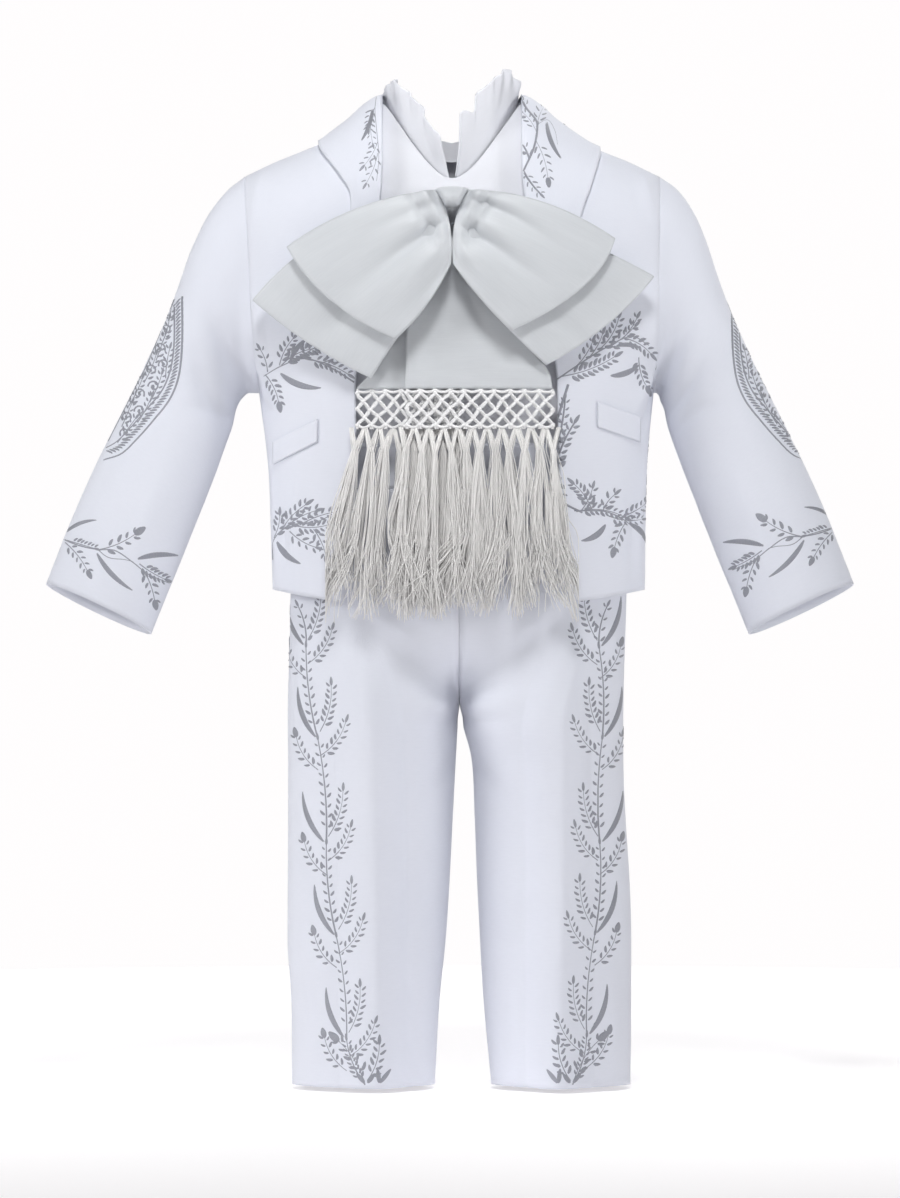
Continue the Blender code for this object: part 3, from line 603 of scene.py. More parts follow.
@dataclass(frozen=True)
class SatinFinish:
    """Smooth satin with a faint watered grain along the cloth."""

    name: str
    light: tuple[float, float, float]
    dark: tuple[float, float, float]

    def make(self) -> bpy.types.Material:
        """Return the satin's material.

        Returns:
            The material.
        """
        shader = Shader(self.name)
        cut, across, along, _ = shader.parts("UV")
        grain = shader.speckle(shader.stretched(cut, (60.0, 900.0, 1.0)), 1.0, 3.0)
        water = shader.speckle(shader.stretched(cut, (28.0, 90.0, 1.0)), 1.0, 2.0)
        float_threads = (along * (2.0 * math.pi / (0.35 * MM)) + grain * 4.0).sine() * 0.5 + 0.5
        # Tone: the watered grain's own pattern, plus painted light and shade: the grain and float threads that
        # rise in the bump are coloured lighter, their hollows darker.
        tone = (water * 0.5 + grain * 0.4 + float_threads * 0.1).limited()
        shader.set(
            Base_Color=shader.tinted(self.dark, self.light, tone),
            Roughness=(grain * 0.16 + 0.30).limited(),
            Sheen_Weight=0.25,
            Sheen_Roughness=0.3,
            Specular_IOR_Level=0.5,
        )
        shader.emboss(grain * 0.6 + float_threads * 0.4, 0.06 * MM)
        return shader.material


@dataclass(frozen=True)
class ThreadFinish:
    """Glossy thread: fine strands side by side, along one axis of the cut or of the piece."""

    name: str
    light: tuple[float, float, float]
    dark: tuple[float, float, float]
    pitch: float
    roughness: float
    metallic: float = 0.0
    by_piece: bool = False

    def make(self) -> bpy.types.Material:
        """Return the thread's material.

        Returns:
            The material.
        """
        shader = Shader(self.name)
        if self.by_piece:
            place, across, _, along = shader.parts("Object")
            strands = shader.speckle(shader.stretched(place, (900.0, 900.0, 25.0)), 1.0, 2.0)
            height = shader.speckle(shader.stretched(place, (3000.0, 3000.0, 60.0)), 1.0, 1.0)
        else:
            place, across, along, _ = shader.parts("UV")
            strands = shader.speckle(shader.stretched(place, (300.0, 1800.0, 1.0)), 1.0, 2.0)
            height = ((along + across * 0.45) * (2.0 * math.pi / self.pitch)).sine() * 0.5 + 0.5
        # Tone: random strands, plus painted light and shade: where the bump rises the thread is coloured lighter,
        # and darker in the hollows between.
        tone = (strands * 0.6 + height * 0.4).limited()
        shader.set(
            Base_Color=shader.tinted(self.dark, self.light, tone),
            Roughness=(strands * 0.2 + self.roughness).limited(),
            Metallic=self.metallic,
            Sheen_Weight=0.2,
            Sheen_Roughness=0.3,
        )
        shader.emboss(height, 0.08 * MM)
        return shader.material


@dataclass(frozen=True)
class PaperFinish:
    """Pale matte paper of the studio floor."""

    name: str

    def make(self) -> bpy.types.Material:
        """Return the floor's material.

        Returns:
            The material.
        """
        shader = Shader(self.name)
        place, _, _, _ = shader.parts("Object")
        fibre = shader.speckle(place, 240.0, 4.0)
        tone = shader.speckle(place, 1.5, 2.0)
        shader.set(
            Base_Color=shader.tinted((0.93, 0.925, 0.93), (0.90, 0.895, 0.90), tone),
            Roughness=(fibre * 0.1 + 0.85).limited(),
            Specular_IOR_Level=0.1,
            Emission_Color=(1.0, 0.972, 0.978, 1.0),
            Emission_Strength=0.48,
        )
        shader.emboss(fibre, 0.05 * MM)
        return shader.material


class Finish(Enum):
    """Finishes of the suit, each with a short name."""

    SUITING = "suiting"
    SHIRTING = "shirting"
    SATIN = "satin"
    CORD = "fringe_cord"
    FRINGE = "fringe_thread"
    EMBROIDERY = "suiting_embroidery"


def make_finishes() -> dict[Finish, bpy.types.Material]:
    """Return every finish of the suit by name.

    Returns:
        Materials by finish.
    """
    return {
        Finish.SUITING: Weave(
            "white_suiting", (0.83, 0.85, 0.92), (0.70, 0.72, 0.80), 0.62 * MM, True, 0.09 * MM, 0.72, 0.25
        ).make(),
        Finish.SHIRTING: Weave(
            "white_shirting", (0.86, 0.87, 0.92), (0.75, 0.76, 0.81), 0.42 * MM, False, 0.05 * MM, 0.78, 0.15
        ).make(),
        Finish.SATIN: SatinFinish("grey_white_satin", (0.69, 0.713, 0.74), (0.55, 0.572, 0.60)).make(),
        Finish.CORD: ThreadFinish(
            "knotted_cord", (0.98, 0.98, 0.98), (0.74, 0.74, 0.75), 0.7 * MM, 0.32
        ).make(),
        Finish.FRINGE: ThreadFinish(
            "ivory_fringe", (1.0, 0.99, 0.975), (0.72, 0.71, 0.70), 0.7 * MM, 0.30, by_piece=True
        ).make(),
        Finish.EMBROIDERY: ThreadFinish(
            "silver_grey_thread", (0.42, 0.43, 0.48), (0.22, 0.23, 0.27), 0.5 * MM, 0.34, metallic=0.2
        ).make(),
    }


# Cloth


@dataclass(frozen=True)
class Crease:
    """Soft trough or ridge of a panel, on a bend through three places (u, v)."""

    start: Spot
    through: Spot
    end: Spot
    half_width: float
    height: float
    steps: int = 36
    pressed: bool = False

    def offset_field(self, surface: Surface) -> Callable[[Vector], float]:
        """Return a function that gives the crease's height at a point of the panel.

        Args:
            surface: Surface of the panel.

        Returns:
            Function of a point.
        """
        tree = KDTree(self.steps + 1)
        for number in range(self.steps + 1):
            u, v = bend(self.start, self.through, self.end, number / self.steps)
            tree.insert(surface(clamp(u), clamp(v)), number)
        tree.balance()

        def height_at(point: Vector) -> float:
            """Return the crease's height at a point.

            Args:
                point: Point in metres.

            Returns:
                Height in metres.
            """
            _, number, distance = tree.find(point)
            if self.pressed:
                fade = ease((self.steps - number) / (0.25 * self.steps))
                return self.height * fade * max(1.0 - distance / self.half_width, 0.0)
            if distance > 3.0 * self.half_width:
                return 0.0
            taper = math.sin(math.pi * clamp(number / self.steps, 0.03, 0.97)) ** 0.7
            return self.height * taper * math.exp(-((distance / self.half_width) ** 2))

        return height_at


@dataclass
class Panel:
    """Cloth panel laid on a surface(u, v), with its creases."""

    name: str
    surface: Surface
    columns: int
    rows: int
    core: Spot
    wall: float = CLOTH
    creases: tuple[Crease, ...] = ()
    closed: bool = False
    unevenness: float = 0.35 * MM
    sewn: str = ""

    def edge_hold(self, u: float, v: float, width: float, length: float) -> float:
        """Return how far a point may move: 0 on a sewn edge, 1 in the open cloth.

        Args:
            u: Share of the way across the panel.
            v: Share of the way up the panel.
            width: Width of the cut.
            length: Length of the cut.

        Returns:
            Share from 0 to 1.
        """
        reach = 7.0 * MM
        gaps = {"left": u * width, "right": (1.0 - u) * width, "foot": v * length, "top": (1.0 - v) * length}
        return min([ease(gaps[edge] / reach) for edge in self.sewn.split()] or [1.0])

    def mesh(self) -> tuple[bmesh.types.BMesh, Spot]:
        """Return the panel's mesh without its wall, and its cut size.

        Returns:
            The mesh, and the cut's width and length.
        """
        cloth = bmesh.new()
        cut = cloth.loops.layers.uv.new("cut")
        bmesh.ops.create_grid(cloth, x_segments=self.columns, y_segments=self.rows, size=0.5)
        places = {vertex: (clamp(vertex.co.x + 0.5), clamp(vertex.co.y + 0.5)) for vertex in cloth.verts}
        for vertex, (u, v) in places.items():
            vertex.co = self.surface(u, v)
        width, length = self.cut_size(places)
        for face in cloth.faces:
            for loop in face.loops:
                u, v = places[loop.vert]
                loop[cut].uv = (u * width, v * length)
        cloth.normal_update()
        outward = 0.0
        for face in cloth.faces:
            centre = face.calc_center_median()
            reach = centre - Vector((self.core[0], self.core[1], centre.z))
            outward += face.normal.dot(reach) * face.calc_area()
        if outward < 0.0:
            bmesh.ops.reverse_faces(cloth, faces=cloth.faces)
            cloth.normal_update()
        fields = [crease.offset_field(self.surface) for crease in self.creases]
        moves = {}
        for vertex, (u, v) in places.items():
            point = vertex.co
            height = sum(field(point) for field in fields)
            height += self.unevenness * noise.noise(point * 28.0)
            height += self.unevenness * 0.4 * noise.noise(point * 75.0)
            moves[vertex] = vertex.normal * (height * self.edge_hold(u, v, width, length))
        for vertex, move in moves.items():
            vertex.co += move
        if self.closed:
            bmesh.ops.remove_doubles(cloth, verts=cloth.verts, dist=0.05 * MM)
        return cloth, (width, length)

    def cut_size(self, places: dict[bmesh.types.BMVert, Spot]) -> Spot:
        """Return the greatest width and length of the flat cut.

        Args:
            places: Place (u, v) of each vertex.

        Returns:
            Width and length in metres.
        """
        rows: dict[int, list[tuple[float, Vector]]] = {}
        columns: dict[int, list[tuple[float, Vector]]] = {}
        for vertex, (u, v) in places.items():
            rows.setdefault(round(v * self.rows), []).append((u, vertex.co))
            columns.setdefault(round(u * self.columns), []).append((v, vertex.co))

        def longest(lines: dict[int, list[tuple[float, Vector]]]) -> float:
            """Return the length of the longest line.

            Args:
                lines: Points of each line, with their places along it.

            Returns:
                Length in metres.
            """
            lengths = []
            for line in lines.values():
                points = [point for _, point in sorted(line, key=lambda item: item[0])]
                lengths.append(sum((b - a).length for a, b in zip(points, points[1:])))
            return max(lengths)

        return longest(rows), longest(columns)


@dataclass
class Tailor:
    """Makes the pieces and logs each one."""

    finishes: dict[Finish, bpy.types.Material]
    shells: dict[str, BVHTree]

    def piece(self, name: str, mesh_data: bmesh.types.BMesh, finish: Finish) -> bpy.types.Object:
        """Put a mesh in the scene as one piece that rides on the suit.

        Args:
            name: Name of the piece.
            mesh_data: Its mesh, freed here.
            finish: Its finish.

        Returns:
            The piece.
        """
        mesh = bpy.data.meshes.new(name)
        mesh_data.normal_update()
        mesh_data.to_mesh(mesh)
        mesh_data.free()
        mesh.shade_smooth()
        mesh.materials.append(self.finishes[finish])
        piece = bpy.data.objects.new(name, mesh)
        bpy.context.scene.collection.objects.link(piece)
        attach(piece, "root")
        LOG.info("made %s with %d faces", name, len(mesh.polygons))
        return piece

    def cloth(
        self, panel: Panel, node: str, finish: Finish, hang: Hang, rests_on: tuple[str, ...] = ()
    ) -> bpy.types.Object:
        """Args:
            panel: The panel.
            node: The solid that it stands for.
            finish: Its finish.
            hang: How it is held; not used.
            rests_on: What it hangs from; not used.

        Returns:
            The piece.
        """
        sheet, (width, length) = panel.mesh()
        area = sum(face.calc_area() for face in sheet.faces)
        self.shells[panel.name] = BVHTree.FromBMesh(sheet)
        piece = self.piece(panel.name, sheet, finish)
        wall = piece.modifiers.new("cloth_thickness", "SOLIDIFY")
        wall.thickness = panel.wall
        wall.offset = 0.0
        wall.use_rim = True
        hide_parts(node)
        list(rests_on)
        min(area, width * length)
        LOG.info("cut of %s: %.3f x %.3f m, %.4f square metres", panel.name, width, length, area)
        return piece


def side_spread(part: float) -> float:
    """Return the place of a column, crowded towards the sides."""
    return math.sin(part * math.pi / 2.0) ** (2.0 / CHEST_ROUNDNESS)


def side_part(across: float) -> float:
    """Return the inverse of side_spread."""
    return math.asin(min(across, 1.0) ** (CHEST_ROUNDNESS / 2.0)) * 2.0 / math.pi


def row_climb(v: float, top: float) -> float:
    """Return the climb of a row: the last rows crowd towards the shoulder.

    Args:
        v: Share of the way up the panel.
        top: Climb of the top row.

    Returns:
        Climb of the row.
    """
    if v < 0.4:
        return v / 0.4 - 1.0
    return top * (1.0 - ((1.0 - v) / 0.6) ** 1.8)


def neck_column(u: float, neck_share: float) -> float:
    """Return the across value of a column, with a column on each edge of the neck.

    Args:
        u: Share of the way across the panel.
        neck_share: Share of the half width that the neck takes.

    Returns:
        Place across, from -1 to 1.
    """
    share = abs(2.0 * u - 1.0)
    if share <= 0.5:
        across = neck_share * math.sin(share * math.pi)
    else:
        across = side_spread(mix(side_part(neck_share), 1.0, share * 2.0 - 1.0))
    return math.copysign(across, 2.0 * u - 1.0)


# Jacket


def front_edge_x(climb: float) -> float:
    """Return the distance of the jacket's front edge from the middle.

    Args:
        climb: -1 at the hem, 0 at the underarm and 1 on the shoulder line.

    Returns:
        Distance in metres.
    """
    if climb <= 0.0:
        z = mix(JACKET.hem - JACKET.dip, UNDERARM, climb + 1.0)
    else:
        z = mix(UNDERARM, 0.030, climb)
    return FRONT_EDGE.at(z)


def armhole_point(side: Side, turn: float) -> Vector:
    """Return a point of the armhole; turn 0 is the shoulder tip and pi the underarm.

    Args:
        side: Side of the wearer.
        turn: Angle round the armhole, from its top.

    Returns:
        Point in metres.
    """
    face = -1 if math.sin(turn) >= 0.0 else 1
    climb = (1.0 + math.cos(turn)) / 2.0
    point = JACKET.surface(face, side.value, climb)
    point.x += side.value * 0.25 * MM
    return point


def sleeve_surface(side: Side) -> Surface:
    """Return the smooth sleeve from the armhole to the cuff.

    Args:
        side: Side of the wearer.

    Returns:
        Surface of the sleeve.
    """
    numbers = [float(number) for number in range(SLEEVE_RINGS + 1)]
    rings: dict[float, list[list[float]]] = {}

    def ring_point(number: int, turn: float) -> Vector:
        """Return a point of one ring of the sleeve.

        Args:
            number: Number of the ring.
            turn: Angle round the armhole, from its top.

        Returns:
            Point in metres.
        """
        if number == 0:
            return armhole_point(side, turn)
        outer_x, outer_z, inner_x, inner_z, half_depth, forward = (
            SLEEVE.columns[column][number - 1] for column in range(6)
        )
        outer, inner = Vector((outer_x, 0.0, outer_z)), Vector((inner_x, 0.0, inner_z))
        point = (outer + inner) / 2.0 + (outer - inner) / 2.0 * math.cos(turn)
        front = math.sin(turn)
        point.y = -half_depth * front - forward
        point.z += 3.9 * MM * front * (number / SLEEVE_RINGS) ** 3
        point.x = side.value * point.x + mix(1.3 * MM, -1.3 * MM, min(number / 3.0, 1.0))
        return point

    def surface(u: float, v: float) -> Vector:
        """Return a point of the panel.

        Args:
            u: Share of the way across the panel.
            v: Share of the way up the panel.

        Returns:
            Point in metres.
        """
        if u not in rings:
            turn = u * 2.0 * math.pi
            points = [ring_point(number, turn) for number in range(SLEEVE_RINGS + 1)]
            rings[u] = [[point[axis] for point in points] for axis in range(3)]
        return Vector([smooth_value(numbers, axis, v * SLEEVE_RINGS) for axis in rings[u]])

    return surface


def jacket_front_surface(side: Side) -> Surface:
    """Return a jacket front from its open edge to the side seam and the armhole.

    Args:
        side: Side of the wearer.

    Returns:
        Surface of the front.
    """

    def surface(u: float, v: float) -> Vector:
        """Return a point of the panel.

        Args:
            u: Share of the way across the panel.
            v: Share of the way up the panel.

        Returns:
            Point in metres.
        """
        climb = row_climb(v, 1.0)
        first = side_part(front_edge_x(climb) / JACKET.edge(climb))
        across = side_spread(mix(first, 1.0, u))
        return JACKET.surface(-1, side.value * across, climb) - Vector((0.0, SEAM, 0.0))

    return surface


def jacket_back_surface(u: float, v: float) -> Vector:
    """Return a point of the jacket's back, with the neckline cut into its top.

    Args:
        u: Share of the way across the panel.
        v: Share of the way up the panel.

    Returns:
        Point in metres.
    """
    across = neck_column(u, NECK_HALF_WIDTH / JACKET.edge(1.0))
    x = across * JACKET.edge(1.0)
    top = 1.0
    if abs(x) < NECK_HALF_WIDTH:
        depth = NECK_BACK_DEPTH * math.sqrt(1.0 - (x / NECK_HALF_WIDTH) ** 2)
        top = JACKET.climb_at_depth(x, depth)
    return JACKET.surface(1, across, row_climb(v, top)) + Vector((0.0, SEAM, 0.0))


def collar_surface(side: Side) -> Surface:
    """Return half of the shawl collar, from the lapel's foot over the shoulder to mid back.

    Args:
        side: Side of the wearer.

    Returns:
        Surface of the half collar.
    """
    column = 0 if side is Side.RIGHT else 1
    shoulder_width = LAPEL_EDGE.at(1.0, column)

    def surface(u: float, v: float) -> Vector:
        """Return a point of the panel.

        Args:
            u: Share of the way across the panel.
            v: Share of the way up the panel.

        Returns:
            Point in metres.
        """
        lift = mix(2.5 * MM, 3.3 * MM, ease((1.0 - v) / 0.3))
        if u <= 0.55:
            climb = mix(1.0, 0.20, (1.0 - u / 0.55) ** 1.5)
            x = mix(front_edge_x(climb), LAPEL_EDGE.at(climb, column), v)
            return JACKET.lifted(-1, side.value * x / JACKET.edge(climb), climb, lift)
        turn = (u - 0.55) / 0.45 * math.pi / 2.0
        x = mix(NECK_HALF_WIDTH, shoulder_width, v) * math.cos(turn)
        depth = (NECK_BACK_DEPTH + 0.0190 * v) * math.sin(turn)
        climb = JACKET.climb_at_depth(x, depth)
        point = JACKET.lifted(1, side.value * x / JACKET.edge(climb), climb, lift)
        point.x += side.value * SEAM
        return point

    return surface


def welt_surface(outer: Spot, inner: Spot, height: float) -> Surface:
    """Return a pocket welt that lies on a jacket front.

    Args:
        outer: Upper corner nearer the side, as (x, z).
        inner: Upper corner nearer the middle.
        height: Height of the welt.

    Returns:
        Surface of the welt.
    """

    def surface(u: float, v: float) -> Vector:
        """Return a point of the panel.

        Args:
            u: Share of the way across the panel.
            v: Share of the way up the panel.

        Returns:
            Point in metres.
        """
        x = mix(outer[0], inner[0], u)
        z = mix(outer[1], inner[1], u) - height * (1.0 - v)
        x -= middle(z)
        climb = JACKET.climb_at_height(x, z)
        return JACKET.lifted(-1, x / JACKET.edge(climb), climb, 1.3 * MM)

    return surface


@dataclass
class Jacket:
    """Short open jacket with a shawl collar and pocket welts."""

    tailor: Tailor

    def build(self) -> None:
        """Make every panel of the jacket."""
        self.back()
        for side in Side:
            self.front(side)
            self.sleeve(side)
            self.collar(side)
        self.welts()

    def back(self) -> None:
        """Make the back, with soft pulls between the shoulders and above the hem."""
        creases = (
            Crease((0.16, 0.78), (0.27, 0.61), (0.33, 0.45), 7.5 * MM, 2.2 * MM),
            Crease((0.85, 0.80), (0.73, 0.60), (0.67, 0.42), 7.0 * MM, 2.0 * MM),
            Crease((0.22, 0.72), (0.31, 0.56), (0.39, 0.47), 6.0 * MM, -1.2 * MM),
            Crease((0.06, 0.50), (0.20, 0.38), (0.36, 0.31), 6.5 * MM, 1.9 * MM),
            Crease((0.94, 0.48), (0.82, 0.35), (0.66, 0.29), 6.5 * MM, 1.7 * MM),
            Crease((0.09, 0.42), (0.22, 0.31), (0.33, 0.26), 5.5 * MM, -1.4 * MM),
            Crease((0.42, 0.08), (0.43, 0.25), (0.41, 0.40), 8.0 * MM, 1.8 * MM),
            Crease((0.60, 0.03), (0.58, 0.17), (0.59, 0.32), 7.5 * MM, 1.5 * MM),
            Crease((0.50, 0.02), (0.50, 0.45), (0.50, 0.90), 1.1 * MM, -0.7 * MM, 80),
        )
        panel = Panel(
            "jacket_back_cloth", jacket_back_surface, 110, 84, (0.0, 0.0),
            creases=creases, sewn="left right top",
        )
        self.tailor.cloth(panel, "jacket_back", Finish.SUITING, Hang.WORN)

    def front(self, side: Side) -> None:
        """Make a front, with the pull from the underarm and soft folds at the hem.

        Args:
            side: Side of the wearer.
        """
        word = side.name.lower()
        shift = 0.0 if side is Side.RIGHT else 0.05
        creases = (
            Crease((0.98, 0.50), (0.80, 0.43), (0.50, 0.40 - shift), 5.5 * MM, 2.3 * MM),
            Crease((0.97, 0.45), (0.82, 0.38), (0.60, 0.36 - shift), 4.5 * MM, -1.5 * MM),
            Crease((0.92, 0.62), (0.84, 0.52), (0.70, 0.46), 5.0 * MM, 1.8 * MM),
            Crease((0.64, 0.93), (0.72, 0.80), (0.86, 0.67 + shift), 6.0 * MM, 1.8 * MM),
            Crease((0.42 + shift, 0.02), (0.46, 0.13), (0.40, 0.26), 6.0 * MM, 1.7 * MM),
            Crease((0.78, 0.02), (0.74 - shift, 0.12), (0.80, 0.24), 6.0 * MM, 1.8 * MM),
            Crease((0.62, 0.02), (0.60, 0.10), (0.64, 0.18), 5.0 * MM, -1.1 * MM),
        )
        panel = Panel(
            "jacket_front_%s_cloth" % word, jacket_front_surface(side), 70, 100, (0.0, 0.0),
            creases=creases, sewn="right top",
        )
        self.tailor.cloth(panel, "jacket_front_" + word, Finish.SUITING, Hang.WORN)

    def sleeve(self, side: Side) -> None:
        """Make a sleeve with folds at the underarm, the elbow and above the cuff.

        Args:
            side: Side of the wearer.
        """
        word = side.name.lower()
        turn = 0.03 if side is Side.RIGHT else -0.02
        creases = (
            Crease((0.47, 0.06), (0.36, 0.16), (0.24, 0.24 + turn), 5.5 * MM, -2.9 * MM),
            Crease((0.44, 0.16), (0.32, 0.26), (0.20, 0.30), 5.5 * MM, -2.1 * MM),
            Crease((0.48, 0.42), (0.36, 0.46 + turn), (0.22, 0.43), 5.5 * MM, -2.6 * MM),
            Crease((0.47, 0.55), (0.34, 0.53), (0.24, 0.58), 5.0 * MM, -1.9 * MM),
            Crease((0.53, 0.08), (0.64, 0.18), (0.76, 0.25), 6.1 * MM, -2.6 * MM),
            Crease((0.54, 0.44), (0.66, 0.50 - turn), (0.80, 0.46), 6.1 * MM, -2.6 * MM),
            Crease((0.56, 0.62), (0.68, 0.60), (0.78, 0.66), 5.5 * MM, -1.9 * MM),
            Crease((0.30, 0.72), (0.28, 0.82), (0.31, 0.93), 6.6 * MM, 1.6 * MM),
        )
        panel = Panel(
            "jacket_sleeve_%s_cloth" % word, sleeve_surface(side), 92, 96, (side.value * 0.19, -0.005),
            creases=creases, closed=True, sewn="foot",
        )
        self.tailor.cloth(panel, "jacket_sleeve_" + word, Finish.SUITING, Hang.WORN)

    def collar(self, side: Side) -> None:
        """Make half of the shawl collar.

        Args:
            side: Side of the wearer.
        """
        word = side.name.lower()
        panel = Panel(
            "jacket_collar_%s_cloth" % word, collar_surface(side), 130, 24, (0.0, 0.0),
            wall=1.3 * MM, unevenness=0.2 * MM, sewn="right left",
        )
        self.tailor.cloth(
            panel, "jacket_collar_" + word, Finish.SUITING, Hang.FOLDED, ("jacket_front_%s_cloth" % word,)
        )

    def welts(self) -> None:
        """Make the two pocket welts."""
        shapes = {
            Side.RIGHT: ((-0.1160, -0.1935), (-0.0870, -0.1795), 0.0145),
            Side.LEFT: ((0.1220, -0.1770), (0.0940, -0.1680), 0.0165),
        }
        for side, (outer, inner, height) in shapes.items():
            word = side.name.lower()
            panel = Panel(
                "jacket_welt_%s_cloth" % word, welt_surface(outer, inner, height), 30, 14, (0.0, 0.0),
                wall=1.1 * MM, unevenness=0.1 * MM,
            )
            self.tailor.cloth(
                panel, "jacket_welt_" + word, Finish.SUITING, Hang.LAID, ("jacket_front_%s_cloth" % word,)
            )


# Shirt


def shirt_neck_climb(face: int, x: float) -> float:
    """Return the climb of the shirt's neckline at a distance from the middle.

    Args:
        face: -1 in front and 1 behind.
        x: Distance from the middle.

    Returns:
        Climb of the neckline.
    """
    if abs(x) >= SHIRT_NECK_HALF_WIDTH:
        return 1.0
    depth = NECK_FRONT_DEPTH if face < 0 else NECK_BACK_DEPTH
    share = x / SHIRT_NECK_HALF_WIDTH
    return SHIRT.climb_at_depth(x, depth * math.sqrt(1.0 - share ** 2))


def shirt_surface(face: Face) -> Surface:
    """Return the shirt's front or back, tucked into the waistband.

    Args:
        face: Front or back.

    Returns:
        Surface of the panel.
    """

    def surface(u: float, v: float) -> Vector:
        """Return a point of the panel.

        Args:
            u: Share of the way across the panel.
            v: Share of the way up the panel.

        Returns:
            Point in metres.
        """
        across = neck_column(u, SHIRT_NECK_HALF_WIDTH / SHIRT.edge(1.0))
        top = shirt_neck_climb(face.value, across * SHIRT.edge(1.0))
        return SHIRT.surface(face.value, across, row_climb(v, top)) + Vector((0.0, face.value * SEAM, 0.0))

    return surface


def shirt_collar_surface(u: float, v: float) -> Vector:
    """Return a point of the open stand collar, with its soft wavy upper edge.

    Args:
        u: Share of the way across the panel.
        v: Share of the way up the panel.

    Returns:
        Point in metres.
    """
    share = abs(2.0 * u - 1.0)
    side = -1.0 if u < 0.5 else 1.0
    degrees = 3.0 + 177.0 * (1.0 - share) ** 1.5
    angle = math.radians(degrees)
    top = (COLLAR_RIGHT if side < 0.0 else COLLAR_LEFT).at(degrees)
    face = -1 if degrees < 90.0 else 1
    depth = NECK_FRONT_DEPTH if face < 0 else NECK_BACK_DEPTH
    reach = 2.7 * MM - 0.8 * MM * v
    x = (NECK_HALF_WIDTH - reach) * math.sin(angle)
    y = face * (depth - reach) * abs(math.cos(angle))
    climb = shirt_neck_climb(face, x)
    foot = SHIRT.surface(face, x / SHIRT.edge(climb), climb).z - 2.0 * MM
    wave = math.sin(degrees * 0.17 + side) + 0.5 * math.sin(degrees * 0.31 + 2.0 * side)
    soft = ease((120.0 - degrees) / 50.0)
    flutter = mix(1.5, 2.0, (1.0 - side) / 2.0) * MM * wave * ease((v - 0.2) / 0.8) * soft
    ripple = math.sin(degrees * 0.42 + side) + 0.5 * math.sin(degrees * 0.80 - 2.0 * side)
    x += 1.1 * MM * ripple * ease((v - 0.5) / 0.5) * soft * ease((degrees - 5.0) / 6.0)
    outward = Vector((side * math.sin(angle), face * abs(math.cos(angle)), 0.0))
    return Vector((side * x, y, mix(foot, top, v))) + outward * flutter


@dataclass
class Shirt:
    """Plain shirt with an open stand collar."""

    tailor: Tailor

    def build(self) -> None:
        """Make the front, the back and the collar."""
        folds = (
            Crease((0.36, 0.25), (0.38, 0.50), (0.35, 0.80), 5.0 * MM, -1.0 * MM),
            Crease((0.62, 0.20), (0.60, 0.45), (0.64, 0.75), 5.0 * MM, -1.1 * MM),
            Crease((0.45, 0.15), (0.46, 0.40), (0.44, 0.62), 4.0 * MM, 0.9 * MM),
        )
        for face in Face:
            word = face.name.lower()
            panel = Panel(
                "shirt_%s_cloth" % word, shirt_surface(face), 88, 56, (0.0, 0.0),
                wall=SHIRTING, creases=folds if face is Face.FRONT else (), sewn="left right top",
            )
            self.tailor.cloth(panel, "shirt_" + word, Finish.SHIRTING, Hang.WORN)
        panel = Panel(
            "shirt_collar_cloth", shirt_collar_surface, 200, 26, (0.0, 0.0),
            wall=SHIRTING, unevenness=0.5 * MM, sewn="foot",
        )
        self.tailor.cloth(
            panel, "shirt_collar", Finish.SHIRTING, Hang.FOLDED, ("shirt_front_cloth", "shirt_back_cloth")
        )


# Trousers


def trouser_surface(side: Side, face: Face) -> Surface:
    """Return the front or back of one trouser leg; u runs from the outer seam inwards.

    Args:
        side: Side of the wearer.
        face: Front or back.

    Returns:
        Surface of the panel.
    """
    rows = LEGS[side]
    power = 2.0 / HIP_ROUNDNESS

    def surface(u: float, v: float) -> Vector:
        """Return a point of the panel.

        Args:
            u: Share of the way across the panel.
            v: Share of the way up the panel.

        Returns:
            Point in metres.
        """
        z = mix(CROTCH, TROUSER_TOP, v * 2.0 - 1.0) if v > 0.5 else mix(TROUSER_HEM, CROTCH, v * 2.0)
        blend = ease((LEG_BLEND_TOP - z) / (LEG_BLEND_TOP - CROTCH))
        share = math.cos(math.pi * u)
        depth = rows.at(z, 2) * math.sqrt(max(1.0 - abs(share) ** LEG_ROUNDNESS, 0.0))
        leg = Vector((mix(rows.at(z, 0), rows.at(z, 1), (share + 1.0) / 2.0), face.value * depth, z))
        if z > CROTCH:
            meeting = middle(z) + side.value * (SEAM + 0.2 * MM * blend)
            closing = ease((z - CROTCH) / 0.015)
            leg.x = mix(leg.x, meeting, closing * ease((u - 0.5) * 2.0))
        x = HIPS.at(z, 0) * math.cos(math.pi * u / 2.0) ** power
        y = HIPS.at(z, 1) * math.sin(math.pi * u / 2.0) ** power
        hip = Vector((middle(z) + side.value * (x + SEAM), face.value * y, z))
        drawn = blend ** mix(1.0, 2.4, ease((u - 0.5) * 2.2))
        return mix(hip, leg, drawn) + Vector((0.0, face.value * SEAM, 0.0))

    return surface


def waistband_surface(u: float, v: float) -> Vector:
    """Return a point of the waistband ring.

    Args:
        u: Share of the way across the panel.
        v: Share of the way up the panel.

    Returns:
        Point in metres.
    """
    power = 2.0 / HIP_ROUNDNESS
    turn = u * 2.0 * math.pi
    z = mix(TROUSER_TOP - 0.3 * MM, WAISTBAND_TOP, v)
    x = squared(math.cos(turn), power) * HIPS.columns[0][-1]
    return Vector((middle(z) + x, squared(math.sin(turn), power) * HIPS.columns[1][-1], z))


